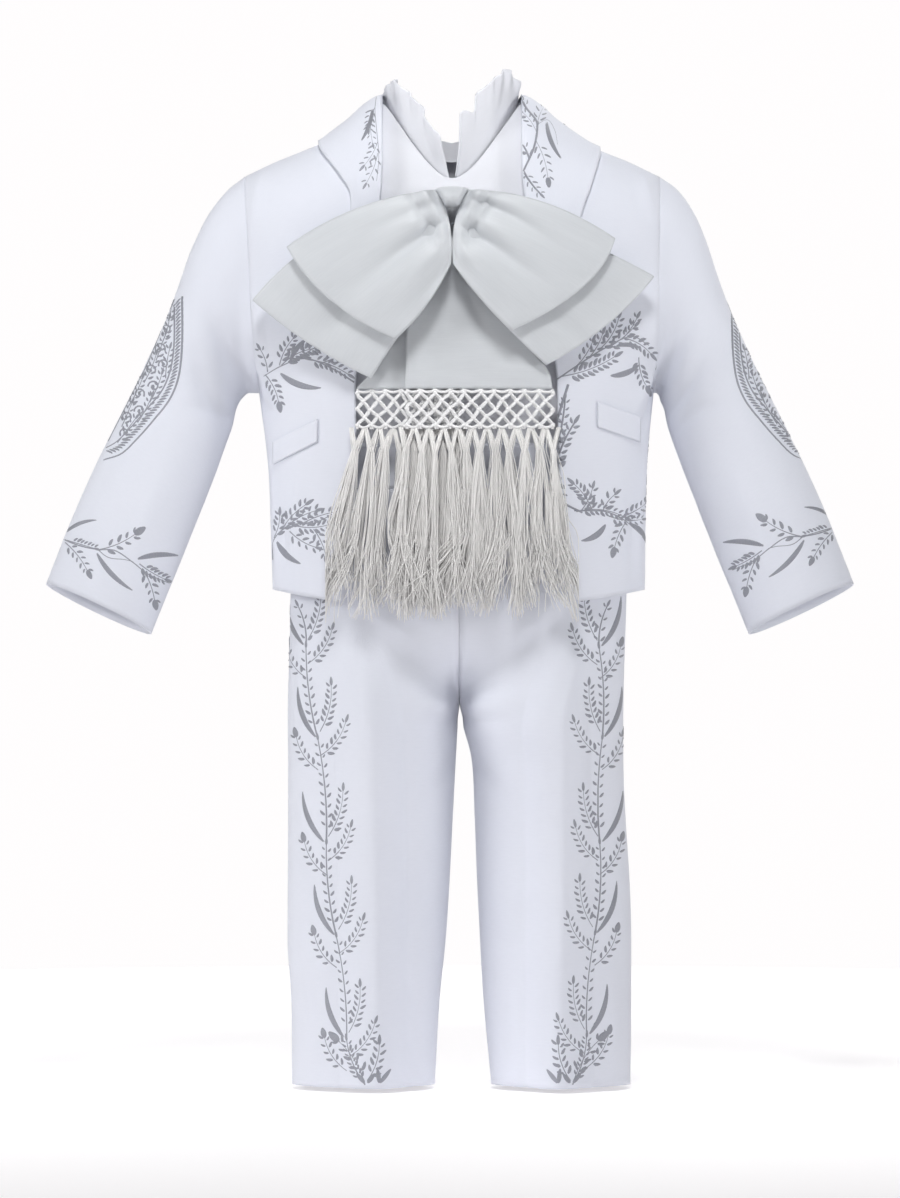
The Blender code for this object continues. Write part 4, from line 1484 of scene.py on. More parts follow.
@dataclass
class Trousers:
    """Straight trousers with a pressed crease down each leg."""

    tailor: Tailor

    def build(self) -> None:
        """Make the four panels and the waistband."""
        for side in Side:
            for face in Face:
                self.panel(side, face)
        band = Panel(
            "waistband_cloth", waistband_surface, 160, 10, (0.004, 0.0), closed=True, unevenness=0.15 * MM
        )
        self.tailor.cloth(band, "waistband", Finish.SUITING, Hang.WORN)

    def panel(self, side: Side, face: Face) -> None:
        """Make the front or back of one leg.

        Args:
            side: Side of the wearer.
            face: Front or back.
        """
        word = "%s_%s" % (face.name.lower(), side.name.lower())
        lean = 0.02 if side is Side.RIGHT else -0.015
        fold = 0.515 if side is Side.RIGHT else 0.47
        creases = (
            Crease(
                (fold + 0.04, 0.0), (fold, 0.33), (fold - 0.06, 0.70), 23.0 * MM, 9.5 * MM, 160, pressed=True
            ),
            Crease((0.98, 0.50), (0.80, 0.56), (0.60, 0.60 + lean), 7.0 * MM, -1.7 * MM),
            Crease((0.99, 0.44), (0.84, 0.43), (0.66, 0.38), 6.5 * MM, -1.5 * MM),
            Crease((0.92, 0.60), (0.80, 0.70), (0.62, 0.76), 6.5 * MM, 1.2 * MM),
            Crease((0.16, 0.30 + lean), (0.26, 0.27), (0.40, 0.29), 7.0 * MM, -1.2 * MM),
            Crease((0.84, 0.24), (0.72, 0.21 + lean), (0.60, 0.23), 7.0 * MM, -1.2 * MM),
            Crease((0.22, 0.02), (0.24, 0.09), (0.21, 0.18), 6.0 * MM, 0.9 * MM),
            Crease((0.72, 0.02), (0.74, 0.08), (0.70, 0.16), 6.0 * MM, -0.9 * MM),
        )
        core = (side.value * 0.058, 0.0)
        columns, rows = (76, 124) if face is Face.FRONT else (64, 100)
        panel = Panel(
            "trouser_%s_cloth" % word, trouser_surface(side, face), columns, rows, core,
            creases=creases, sewn="left right",
        )
        self.tailor.cloth(panel, "trouser_" + word, Finish.SUITING, Hang.WORN, ("waistband_cloth",))


# Bow tie


@dataclass(frozen=True)
class Loop:
    """Bow loop: corners and edge middles in the front view (x, z), and its layer."""

    name: str
    side: Side
    layer: float
    top_in: Spot
    top_mid: Spot
    top_out: Spot
    out_mid: Spot
    low_out: Spot
    low_mid: Spot
    low_in: Spot
    in_mid: Spot

    def plan(self, out: float, down: float) -> Vector:
        """Return the front view point, out from the knot and down from the upper edge.

        Args:
            out: From 0 at the knot to 1 at the fold.
            down: From 0 at the upper edge to 1 at the lower.

        Returns:
            Place (x, z).
        """
        upper = bend(self.top_in, self.top_mid, self.top_out, out)
        lower = bend(self.low_in, self.low_mid, self.low_out, out)
        near = bend(self.top_in, self.in_mid, self.low_in, down)
        far = bend(self.top_out, self.out_mid, self.low_out, down)
        corners = mix(
            mix(Vector(self.top_in), Vector(self.low_in), down),
            mix(Vector(self.top_out), Vector(self.low_out), down),
            out,
        )
        return mix(upper, lower, down) + mix(near, far, out) - corners

    def surface(self, u: float, v: float) -> Vector:
        """Return a point of the band that goes out, folds over and comes back.

        Args:
            u: Share of the way across the panel.
            v: Share of the way up the panel.

        Returns:
            Point in metres.
        """
        travel = math.sin((u * 2.0 - 1.0) * math.pi / 2.0)
        out = 1.0 - travel ** 2
        if out < 0.75:
            out = 1.5 * (1.0 - abs(travel))
        place = self.plan(out, v)
        pinch = mix(0.4, 1.0, ease(out / 0.5))
        half_gap = 3.2 * MM * math.sqrt(1.0 - out ** 5) * pinch
        y = drape_y(place.x, place.y) - self.layer + math.copysign(half_gap, travel)
        if travel < 0.0:
            y -= self.relief(out, v) * MM
        return Vector((place.x, y, place.y))

    def relief(self, out: float, v: float) -> float:
        """Return in mm how far the front stands out: folds that fan from the knot, and its rolled lip.

        Args:
            out: From 0 at the knot to 1 at the fold.
            v: From 0 at the upper edge to 1 at the lower.

        Returns:
            Height in millimetres.
        """
        open_out = ease(out / 0.14) * mix(1.0, 0.15, ease((out - 0.12) / 0.88))
        fan = 0.0
        for root, tip, width, height in LOOP_FOLDS[self.side]:
            away = (v - mix(root, tip, out)) / (width * mix(0.75, 1.5, out))
            fan += height * math.exp(-away * away)
        lip = 3.6 * math.exp(-(((out - 0.07) / 0.036) ** 2)) - 2.6 * math.exp(-(((out - 0.15) / 0.042) ** 2))
        return fan * open_out + lip * ease((0.78 - v) / 0.25) * ease(out / 0.03)


LOOP_FOLDS = {
    Side.RIGHT: (
        (0.10, 0.16, 0.10, 2.6), (0.30, 0.34, 0.09, 2.2), (0.46, 0.57, 0.06, -4.2), (0.70, 0.76, 0.13, 4.2),
        (0.92, 0.94, 0.06, -1.4),
    ),
    Side.LEFT: (
        (0.04, 0.22, 0.07, 2.4), (0.14, 0.42, 0.05, -2.4), (0.34, 0.54, 0.10, 3.4), (0.52, 0.68, 0.06, -4.0),
        (0.76, 0.84, 0.12, 4.0),
    ),
}
LOWER_LAYER = 5.0 * MM
UPPER_LAYER = 14.4 * MM
BOW_LOOPS = (
    Loop(
        "bow_upper_right", Side.RIGHT, UPPER_LAYER,
        (-0.0112, -0.0320), (-0.0615, -0.0440), (-0.1066, -0.0682), (-0.0785, -0.1030),
        (-0.0360, -0.1284), (-0.0165, -0.1070), (-0.0008, -0.0805), (-0.0018, -0.0530),
    ),
    Loop(
        "bow_upper_left", Side.LEFT, UPPER_LAYER,
        (0.0112, -0.0320), (0.0590, -0.0400), (0.1053, -0.0627), (0.0838, -0.0950),
        (0.0376, -0.1229), (0.0185, -0.1030), (0.0008, -0.0805), (0.0018, -0.0530),
    ),
    Loop(
        "bow_lower_right", Side.RIGHT, LOWER_LAYER,
        (-0.0145, -0.0430), (-0.0772, -0.0594), (-0.1294, -0.1020), (-0.0924, -0.1307),
        (-0.0521, -0.1531), (-0.0310, -0.1214), (-0.0046, -0.0858), (-0.0040, -0.0600),
    ),
    Loop(
        "bow_lower_left", Side.LEFT, LOWER_LAYER,
        (0.0145, -0.0430), (0.0713, -0.0594), (0.1310, -0.0865), (0.0990, -0.1195),
        (0.0607, -0.1447), (0.0350, -0.1200), (0.0046, -0.0858), (0.0040, -0.0600),
    ),
)
TAIL_TOP = -0.0531
TAIL_END = -0.1597


@dataclass(frozen=True)
class TailShape:
    """A hanging tail: its edges, its net and the spread of its fringe."""

    name: str
    edges: Table
    set_back: float
    net_right: float
    net_left: float
    cells: int
    tip_right: float
    tip_left: float
    strands: int
    seed: int


TAILS = (
    TailShape(
        "front",
        Table(
            (-0.1597, -0.0305, 0.0650), (-0.1480, -0.0300, 0.0620),
            (-0.1200, -0.0290, 0.0400), (-0.0560, -0.0080, 0.0080),
        ),
        0.0, -0.0300, 0.0660, 10, -0.0400, 0.0805, 1010, 7,
    ),
    TailShape(
        "rear",
        Table(
            (-0.1597, -0.0620, 0.0060), (-0.1500, -0.0530, 0.0040),
            (-0.1200, -0.0380, 0.0030), (-0.0560, -0.0070, 0.0060),
        ),
        3.3 * MM, -0.0620, 0.0052, 7, -0.0805, 0.0080, 730, 11,
    ),
)
NET_HALF_ROW = 5.2 * MM
NET_ROWS = 4
NET_BORDER = 2.6 * MM
NET_UNEVEN = 0.7 * MM


def strands_mesh(name: str, lines: list[tuple[list[Vector], float, float]], sides: int) -> bmesh.types.BMesh:
    """Return a mesh of many fine tapering strands.

    Args:
        name: Name of the scratch curve.
        lines: For each strand its points, its radius and its tip's share of it.
        sides: 4 for fine strands and 6 or more for cords.

    Returns:
        Mesh of all the strands.
    """
    curve = bpy.data.curves.new(name, "CURVE")
    curve.dimensions = "3D"
    curve.bevel_depth = 1.0
    curve.bevel_resolution = 0 if sides <= 4 else 1
    curve.use_fill_caps = True
    curve.resolution_u = 1
    for points, radius, tip in lines:
        spline = curve.splines.new("POLY")
        spline.points.add(len(points) - 1)
        for number, point in enumerate(points):
            spline.points[number].co = (*point, 1.0)
            spline.points[number].radius = radius * mix(1.0, tip, number / (len(points) - 1))
    scratch = bpy.data.objects.new(name, curve)
    bpy.context.scene.collection.objects.link(scratch)
    depsgraph = bpy.context.evaluated_depsgraph_get()
    made = bpy.data.meshes.new_from_object(scratch.evaluated_get(depsgraph))
    strands = bmesh.new()
    strands.from_mesh(made)
    bpy.data.objects.remove(scratch, do_unlink=True)
    bpy.data.curves.remove(curve)
    bpy.data.meshes.remove(made)
    bmesh.ops.remove_doubles(strands, verts=strands.verts, dist=TOUCH)
    bmesh.ops.recalc_face_normals(strands, faces=strands.faces)
    return strands


@dataclass
class BowTie:
    """Large bow tie with two stacked loops a side and fringed tails."""

    tailor: Tailor

    def build(self) -> None:
        """Make the loops, the knot, the tails, the nets and the fringes."""
        for loop in BOW_LOOPS:
            self.loop(loop)
        self.knot()
        for tail in TAILS:
            self.tail(tail)
            self.net(tail)
            self.fringe(tail)

    def loop(self, loop: Loop) -> None:
        """Make one bow loop.

        Args:
            loop: Shape of the loop.
        """
        panel = Panel(
            loop.name + "_cloth", loop.surface, 104, 44, (0.0, 0.0),
            wall=SATIN, unevenness=0.25 * MM,
        )
        self.tailor.cloth(panel, loop.name, Finish.SATIN, Hang.FOLDED, ("bow_knot_cloth",))

    def knot(self) -> None:
        """Make the knot: a rounded wedge whose satin gathers towards its point."""
        top, apex = -0.0312, -0.0525
        inner = BOW_LOOPS[1]
        edge = [bend(inner.top_in, inner.in_mid, inner.low_in, step / 60) for step in range(61)]

        def surface(u: float, v: float) -> Vector:
            """Return a point of the panel.

            Args:
                u: Share of the way across the panel.
                v: Share of the way up the panel.

            Returns:
                Point in metres.
            """
            z = mix(apex, top, v)
            width = min(edge, key=lambda point: abs(point.y - z)).x - 0.1 * MM
            swell = 1.0 - 0.45 * abs(2.0 * (1.0 - v) - 0.7) ** 3
            band = 5.5 * MM * math.sqrt(max(1.0 - ((v - 0.76) / 0.26) ** 2, 0.0))
            front = drape_y(0.0, z) - 22.5 * MM * swell - band + 8.0 * MM * ease((0.52 - v) / 0.10)
            low = SHIRT.surface(-1, 0.0, 0.0).z
            high = SHIRT.surface(-1, 0.0, 1.0).z
            back = SHIRT.surface(-1, 0.0, (z - low) / (high - low)).y - 1.1 * MM
            turn = 2.0 * math.pi * u
            wide = squared(math.cos(turn), 0.6)
            deep = squared(math.sin(turn), 0.8)
            pleat = 0.5 * MM * math.cos(wide * 9.0) * (1.0 - deep) / 2.0 * ease(v * 3.0)
            crown = 1.2 * MM * (1.0 - wide * wide) * ease((v - 0.8) / 0.2)
            return Vector((wide * width, mix(front - pleat, back, (deep + 1.0) / 2.0), z + crown))

        wedge = bmesh.new()
        cut = wedge.loops.layers.uv.new("cut")
        bmesh.ops.create_grid(wedge, x_segments=96, y_segments=40, size=0.5)
        places = {vertex: (clamp(vertex.co.x + 0.5), clamp(vertex.co.y + 0.5)) for vertex in wedge.verts}
        for vertex, (u, v) in places.items():
            vertex.co = surface(u, v)
        for face in wedge.faces:
            for loop in face.loops:
                u, v = places[loop.vert]
                loop[cut].uv = (u * 0.06, v * 0.0213)
        bmesh.ops.remove_doubles(wedge, verts=wedge.verts, dist=0.02 * MM)
        rims = [edge for edge in wedge.edges if edge.is_boundary]
        bmesh.ops.holes_fill(wedge, edges=rims, sides=0)
        bmesh.ops.recalc_face_normals(wedge, faces=wedge.faces)
        piece = self.tailor.piece("bow_knot_cloth", wedge, Finish.SATIN)
        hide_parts("bow_knot")

    def tail(self, tail: TailShape) -> None:
        """Make one hanging tail.

        Args:
            tail: Shape of the tail.
        """

        def surface(u: float, v: float) -> Vector:
            """Return a point of the panel.

            Args:
                u: Share of the way across the panel.
                v: Share of the way up the panel.

            Returns:
                Point in metres.
            """
            z = mix(TAIL_END - 0.6 * MM, TAIL_TOP, v)
            x = mix(tail.edges.at(z, 0), tail.edges.at(z, 1), u)
            return Vector((x, drape_y(x, z) + tail.set_back, z))

        creases = (
            Crease((0.50, 0.98), (0.44, 0.70), (0.36, 0.35), 3.0 * MM, 0.9 * MM),
            Crease((0.62, 0.95), (0.66, 0.60), (0.74, 0.20), 3.5 * MM, -0.9 * MM),
        )
        panel = Panel(
            "tie_tail_%s_cloth" % tail.name, surface, 44, 54, (0.0, 0.0),
            wall=SATIN, unevenness=0.3 * MM, creases=creases,
        )
        self.tailor.cloth(panel, "tie_tail_" + tail.name, Finish.SATIN, Hang.HUNG, ("bow_knot_cloth",))

    def net(self, tail: TailShape) -> None:
        """Make the knotted net: doubled cords that cross between rows of knots.

        Args:
            tail: Shape of the tail.
        """
        top = TAIL_END - 0.6 * MM
        pitch = (tail.net_left - tail.net_right) / tail.cells
        radius = 0.80 * MM
        lines: list[tuple[list[Vector], float, float]] = []
        knots: list[Vector] = []

        def place(row: int, column: int) -> Spot:
            """Return the place of a knot.

            Args:
                row: Number of the row.
                column: Number of the knot in its row.

            Returns:
                Place (x, z).
            """
            x = tail.net_right + (column + (0.5 if row % 2 else 0.0)) * pitch
            x += NET_UNEVEN * math.sin(row * 5.1 + column * 2.7 + tail.seed)
            z = top - NET_BORDER - row * NET_HALF_ROW
            return x, z + (NET_UNEVEN * math.sin(row * 3.3 + column * 4.9) if 0 < row < NET_ROWS else 0.0)

        def on_tail(x: float, z: float, lift: float) -> Vector:
            """Return the point of the tail at a place."""
            x = clamp(x, tail.net_right + radius, tail.net_left - radius)
            return Vector((x, drape_y(x, z) + tail.set_back + lift, z))

        def cord(start: Spot, end: Spot, bulge: float, lift: float) -> None:
            """Lay one cord between two places.

            Args:
                start: First end, as (x, z).
                end: Other end.
                bulge: Sideways swing of the middle.
                lift: Backward swing of the middle.
            """
            points = []
            for number in range(9):
                part = number / 8
                x = mix(start[0], end[0], part)
                z = mix(start[1], end[1], part)
                swing = math.sin(math.pi * part)
                points.append(on_tail(x + bulge * swing, z, lift * swing))
            lines.append((points, radius, 1.0))

        for row in range(NET_ROWS + 1):
            count = tail.cells + (0 if row % 2 else 1)
            for column in range(count):
                spot = place(row, column)
                knots.append(on_tail(spot[0], spot[1], 0.0))
                for below in (column - (0 if row % 2 else 1), column + (1 if row % 2 else 0)):
                    width = tail.cells + (0 if (row + 1) % 2 else 1)
                    if row < NET_ROWS and 0 <= below < width:
                        other = place(row + 1, below)
                        cord(spot, other, 0.62 * MM, -0.5 * MM)
                        cord(spot, other, -0.62 * MM, 0.5 * MM)
                if row in (0, NET_ROWS):
                    out = NET_BORDER if row == 0 else -NET_BORDER
                    for step in (-0.7 * MM, 0.7 * MM):
                        cord((spot[0] + step, spot[1]), (spot[0] + step, spot[1] + out), 0.0, 0.0)
        foot = top - 2.0 * NET_BORDER - NET_ROWS * NET_HALF_ROW
        for edge, sag in ((top - radius, -1.3 * MM), (foot + 3.4 * MM, -2.4 * MM)):
            count = tail.cells * 8
            points = []
            for number in range(count + 1):
                swag = abs(math.sin(math.pi * number / 8.0))
                x = mix(tail.net_right, tail.net_left, number / count)
                points.append(on_tail(x, edge + sag * swag, -0.8 * MM * swag))
            lines.append((points, radius * 1.15, 1.0))
        net = strands_mesh("net_cords", lines, 8)
        for knot in knots:
            made = bmesh.ops.create_icosphere(net, subdivisions=2, radius=1.65 * MM)
            for vertex in made["verts"]:
                ridge = 1.0 + 0.16 * math.sin((vertex.co.z + vertex.co.x * 0.7) / MM * 5.0)
                vertex.co = Vector((vertex.co.x * 1.05, vertex.co.y * 0.85, vertex.co.z)) * ridge + knot
        piece = self.tailor.piece("tie_net_%s_cords" % tail.name, net, Finish.CORD)
        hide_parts("tie_net_" + tail.name)

    def fringe(self, tail: TailShape) -> None:
        """Make one fringe: locks of fine strands whose tips cross and curl.

        Args:
            tail: Shape of the tail.
        """
        dice = random.Random(tail.seed)
        top = TAIL_END + 0.6 * MM - 2.0 * NET_BORDER - NET_ROWS * NET_HALF_ROW
        locks = tail.cells + 1
        lines: list[tuple[list[Vector], float, float]] = []
        for lock in range(locks):
            share = lock / tail.cells
            root = mix(tail.net_right + 1.0 * MM, tail.net_left - 1.0 * MM, share)
            tip = mix(tail.tip_right + 4.0 * MM, tail.tip_left - 4.0 * MM, share) + dice.gauss(0.0, 2.4 * MM)
            wisps = [self.wisp(dice) for _ in range(5)]
            for _ in range(tail.strands // locks):
                line = self.strand(dice, tail, (root, top), tip, dice.choice(wisps))
                lines.append((line, 0.32 * MM, 0.75))
        strands = strands_mesh("fringe_strands", lines, 4)
        piece = self.tailor.piece("tie_fringe_%s_strands" % tail.name, strands, Finish.FRINGE)
        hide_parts("tie_fringe_" + tail.name)

    def wisp(self, dice: random.Random) -> tuple[float, ...]:
        """Return what the strands of one wisp share: its foot, bow, flick, depth, length and waves.

        Args:
            dice: Source of the wisp's numbers.

        Returns:
            The wisp's six numbers.
        """
        return (
            dice.gauss(0.0, 4.2 * MM), dice.gauss(0.0, 1.6 * MM), dice.gauss(0.0, 10.0 * MM),
            dice.uniform(-3.2, 1.4) * MM, dice.uniform(0.100, 0.128), dice.uniform(0.0, 6.28),
        )

    def strand(
        self, dice: random.Random, tail: TailShape, head: Spot, tip: float, wisp: tuple[float, ...]
    ) -> list[Vector]:
        """Return the points of one strand of a lock.

        Args:
            dice: Source of the strand's own numbers.
            tail: Tail that the lock hangs from.
            head: Place (x, z) of the lock's head.
            tip: Sideways place of its foot.
            wisp: What the strands of its wisp share.

        Returns:
            Points from the head to the tip.
        """
        foot, bow, flick, depth, longest, phase = wisp
        across, behind = clamp(dice.gauss(0.0, 1.0), -2.2, 2.2), clamp(dice.gauss(0.0, 1.0), -2.0, 2.0)
        length = longest * (1.0 - min(abs(dice.gauss(0.0, 0.07)), 0.35))
        loose = dice.random() < 0.12
        turns = dice.uniform(5.0, 8.0) + (dice.uniform(2.0, 7.0) if loose else 0.0)
        phase += dice.gauss(0.0, 2.0 if loose else 0.5)
        crinkle = abs(dice.gauss(1.1, 0.5)) * (2.2 if loose else 1.0) * MM
        flick += dice.gauss(0.0, (9.0 if loose else 2.5) * MM)
        fork = dice.choice((-4.4, 4.4)) * MM
        points = []
        for number in range(14):
            part = (number / 13) ** 0.75
            z = head[1] - length * part
            spread = mix(0.5, 1.1, ease((part - 0.06) * 3.0)) * MM + 0.4 * MM * part ** 2
            x = mix(head[0], tip, part ** 1.15) + across * spread * (1.8 if loose else 1.0)
            x += foot * ease((part - 0.04) * 1.5) + bow * math.sin(math.pi * part)
            x += fork * max(1.0 - part / 0.10, 0.0)
            x += crinkle * math.sin(phase + turns * part) * part + flick * max(part - 0.64, 0.0) ** 1.4 * 4.0
            x = clamp(x, tail.tip_right - 1.5 * MM, tail.tip_left + 1.5 * MM)
            y = drape_y(x, z) + tail.set_back + behind * mix(0.5, 0.8, part) * MM
            y += depth * math.sin(math.pi * min(part * 0.8, 0.6)) + crinkle * math.cos(phase + turns * part) * part
            points.append(Vector((x, y, z)))
        return points


# Embroidery


BOLD = 1.32


@dataclass
class Needle:
    """Lays raised stitches on cloth, from a drawing in picture elements of the photograph."""

    mesh: bmesh.types.BMesh
    cloth: list[BVHTree]
    face: Face = Face.FRONT
    mirror_column: float = 0.0
    drop: float = 0.0

    def land(self, spot: Spot) -> tuple[Vector, Vector]:
        """Return the point of the cloth behind a place of the drawing, and its normal.

        Args:
            spot: Place in the drawing.

        Returns:
            Point of the cloth, and its outward normal.
        """
        column, row = spot
        if self.mirror_column:
            column = self.mirror_column - column
        x, z = photo_place(column, row + self.drop)
        away = Vector((0.0, -float(self.face.value), 0.0))
        start = Vector((x, float(self.face.value), z))
        hits = [hit for hit in (tree.ray_cast(start, away) for tree in self.cloth) if hit[0] is not None]
        if not hits:
            side = Vector((x, 0.0, z))
            hits = [tree.find_nearest(side) for tree in self.cloth]
        location, normal, _, _ = min(hits, key=lambda hit: hit[3])
        if normal.dot(away) > 0.0:
            normal = -normal
        return location, normal

    def patch(
        self, along: int, across: int, outline: Callable[[float, float], Vector],
        height: Callable[[float, float], float], length: float, width: float,
    ) -> None:
        """Lay one raised patch of stitches.

        Args:
            along: Faces along the patch.
            across: Faces across it.
            outline: Place in the drawing of a point along (0 to 1) and across (-1 to 1).
            height: Height over the cloth of such a point.
            length: Length in picture elements.
            width: Width in picture elements.
        """
        cut = self.mesh.loops.layers.uv["cut"]
        made = bmesh.ops.create_grid(self.mesh, x_segments=along, y_segments=across, size=0.5)
        places = {vertex: (vertex.co.x + 0.5, vertex.co.y * 2.0) for vertex in made["verts"]}
        outward = Vector((0.0, 0.0, 0.0))
        for vertex, (s, t) in places.items():
            location, normal = self.land(tuple(outline(s, t)))
            vertex.co = location + normal * (CLOTH / 2.0 + height(s, t))
            outward += normal
        faces = list({face for vertex in made["verts"] for face in vertex.link_faces})
        facing = 0.0
        for face in faces:
            face.normal_update()
            facing += face.normal.dot(outward) * face.calc_area()
            for loop in face.loops:
                s, t = places[loop.vert]
                loop[cut].uv = (t * width * PIXEL / 2.0, s * length * PIXEL)
        if facing < 0.0:
            bmesh.ops.reverse_faces(self.mesh, faces=faces)

    def petal(self, base: Spot, tip: Spot, width: float, bow: float, fine: bool = False) -> None:
        """Lay one pointed leaf of satin stitch with a sunk vein.

        Args:
            base: Place of the leaf's foot.
            tip: Place of its tip.
            width: Width in picture elements.
            bow: Sideways bend, in picture elements.
            fine: Whether it is a small leaf, with no vein.
        """
        start, end = Vector(base), Vector(tip)
        length = (end - start).length
        side = Vector((start.y - end.y, end.x - start.x)) / max(length, 1e-6)
        through = (start + end) / 2.0 + side * bow
        raised = min(0.42 * MM, width * PIXEL * 0.3)

        def outline(s: float, t: float) -> Vector:
            """Return the place of a point of the patch."""
            swell = math.sin(math.pi * s ** 0.85) ** 0.75 if 0.0 < s < 1.0 else 0.0
            return bend(start, through, end, s) + side * (t * width / 2.0 * swell)

        def height(s: float, t: float) -> float:
            """Return the height of the stitches over the cloth.

            Args:
                s: Share of the way along.
                t: From -1 to 1 across.

            Returns:
                Height in metres.
            """
            ends = ease(min(s, 1.0 - s) * 7.0)
            vein = 0.4 * math.exp(-((t / 0.18) ** 2)) if not fine else 0.0
            return raised * (math.sqrt(max(1.0 - t * t, 0.0)) - vein) * ends - 0.12 * MM

        self.patch(5 if fine else 14, 2 if fine else 6, outline, height, length, width)

    def cord(self, spots: tuple[Spot, ...], width: float, taper: float = 0.6) -> None:
        """Lay one stem of twisted stitch through places of the drawing.

        Args:
            spots: Places that the stem goes through.
            width: Width in picture elements.
            taper: Share of the width at the end.
        """
        keys = [0.0]
        for before, after in zip(spots, spots[1:]):
            keys.append(keys[-1] + (Vector(after) - Vector(before)).length)
        columns = [[spot[axis] for spot in spots] for axis in (0, 1)]
        total = keys[-1]

        def at(s: float) -> Vector:
            """Return a place of the stem's middle."""
            return Vector([smooth_value(keys, column, s * total) for column in columns])

        def outline(s: float, t: float) -> Vector:
            """Return the place of a point of the patch.

            Args:
                s: Share of the way along.
                t: From -1 to 1 across.

            Returns:
                Place in the drawing.
            """
            ahead = at(min(s + 0.01, 1.0)) - at(max(s - 0.01, 0.0))
            side = Vector((-ahead.y, ahead.x)).normalized()
            return at(s) + side * (t * width / 2.0 * mix(1.0, taper, s))

        def height(s: float, t: float) -> float:
            """Return the height of the stitches over the cloth."""
            return 0.32 * MM * math.sqrt(max(1.0 - t * t, 0.0)) - 0.12 * MM

        self.patch(max(int(total / 2.2), 4), 2, outline, height, total, width)


@dataclass(frozen=True)
class Leaf:
    """One long leaf."""

    base: Spot
    tip: Spot
    width: float
    bow: float

    def stitch(self, needle: Needle) -> None:
        """Lay the leaf."""
        needle.petal(self.base, self.tip, self.width * BOLD, self.bow)


@dataclass(frozen=True)
class Stem:
    """One stem through several places."""

    spots: tuple[Spot, ...]
    width: float = 1.7

    def stitch(self, needle: Needle) -> None:
        """Lay the stem."""
        needle.cord(self.spots, self.width * BOLD)


@dataclass(frozen=True)
class Sprig:
    """A stem with small leaves on both sides and a leaf or bud at its tip."""

    base: Spot
    tip: Spot
    bow: float = 0.0
    pairs: int = 5
    leaf: float = 7.0
    bud: bool = False
    sides: tuple[int, ...] = (-1, 1)
    stem: float = 1.9

    def stitch(self, needle: Needle) -> None:
        """Lay the stem and then its leaves.

        Args:
            needle: Needle that lays it.
        """
        start, end = Vector(self.base), Vector(self.tip)
        ahead = (end - start).normalized()
        side = Vector((-ahead.y, ahead.x))
        through = (start + end) / 2.0 + side * self.bow
        spots = tuple(tuple(bend(start, through, end, step / 6)) for step in range(7))
        needle.cord(spots, self.stem, 0.6)
        for number in range(self.pairs):
            part = mix(0.16, 0.92, number / max(self.pairs - 1, 1))
            root = bend(start, through, end, part)
            forward = (bend(start, through, end, part + 0.02) - root).normalized()
            normal = Vector((-forward.y, forward.x))
            for hand in self.sides:
                late = 0.35 * self.leaf if hand < 0 else 0.0
                size = BOLD * self.leaf * (1.0 - 0.30 * part) * (1.0 + 0.12 * math.sin(number * 2.3 + hand))
                base = root + forward * late + normal * hand * 0.9
                tip = base + (forward * 0.72 + normal * hand * 0.70) * size
                needle.petal(tuple(base), tuple(tip), size * 0.50, 0.5 * hand, fine=True)
        size = BOLD * self.leaf * (1.25 if self.bud else 1.0)
        last = (end - bend(start, through, end, 0.95)).normalized()
        needle.petal(tuple(end - last), tuple(end + last * size), size * (0.62 if self.bud else 0.40), 0.0)


@dataclass(frozen=True)
class Rope:
    """A border of short slanted stitches through several places."""

    spots: tuple[Spot, ...]
    size: float = 6.5
    lean: float = 0.9
    gap: float = 3.6

    def stitch(self, needle: Needle) -> None:
        """Lay the stitches side by side.

        Args:
            needle: Needle that lays it.
        """
        keys = [0.0]
        for before, after in zip(self.spots, self.spots[1:]):
            keys.append(keys[-1] + (Vector(after) - Vector(before)).length)
        columns = [[spot[axis] for spot in self.spots] for axis in (0, 1)]
        for number in range(int(keys[-1] / self.gap)):
            place, ahead = (
                Vector([smooth_value(keys, column, number * self.gap + more) for column in columns])
                for more in (0.0, 1.0)
            )
            forward = (ahead - place).normalized()
            reach = (forward + Vector((-forward.y, forward.x)) * self.lean) * self.size / 2.0
            needle.petal(tuple(place - reach), tuple(place + reach), self.size * 0.42, 0.6, fine=True)


@dataclass(frozen=True)
class Scroll:
    """A curled stem that winds into its centre."""

    centre: Spot
    radius: float
    start: float
    turns: float
    width: float = 1.5

    def stitch(self, needle: Needle) -> None:
        """Lay the curl, with a knot in its middle.

        Args:
            needle: Needle that lays it.
        """
        spots = []
        steps = 14
        for step in range(steps + 1):
            part = step / steps
            angle = math.radians(self.start) + part * self.turns * 2.0 * math.pi
            reach = self.radius * (1.0 - 0.8 * part)
            spots.append((self.centre[0] + reach * math.cos(angle), self.centre[1] + reach * math.sin(angle)))
        needle.cord(tuple(spots), self.width, 0.8)
        x, y = self.centre
        needle.petal((x, y + 1.8), (x, y - 1.8), 2.8, 0.0, fine=True)


Motif = Union[Leaf, Stem, Sprig, Rope, Scroll]

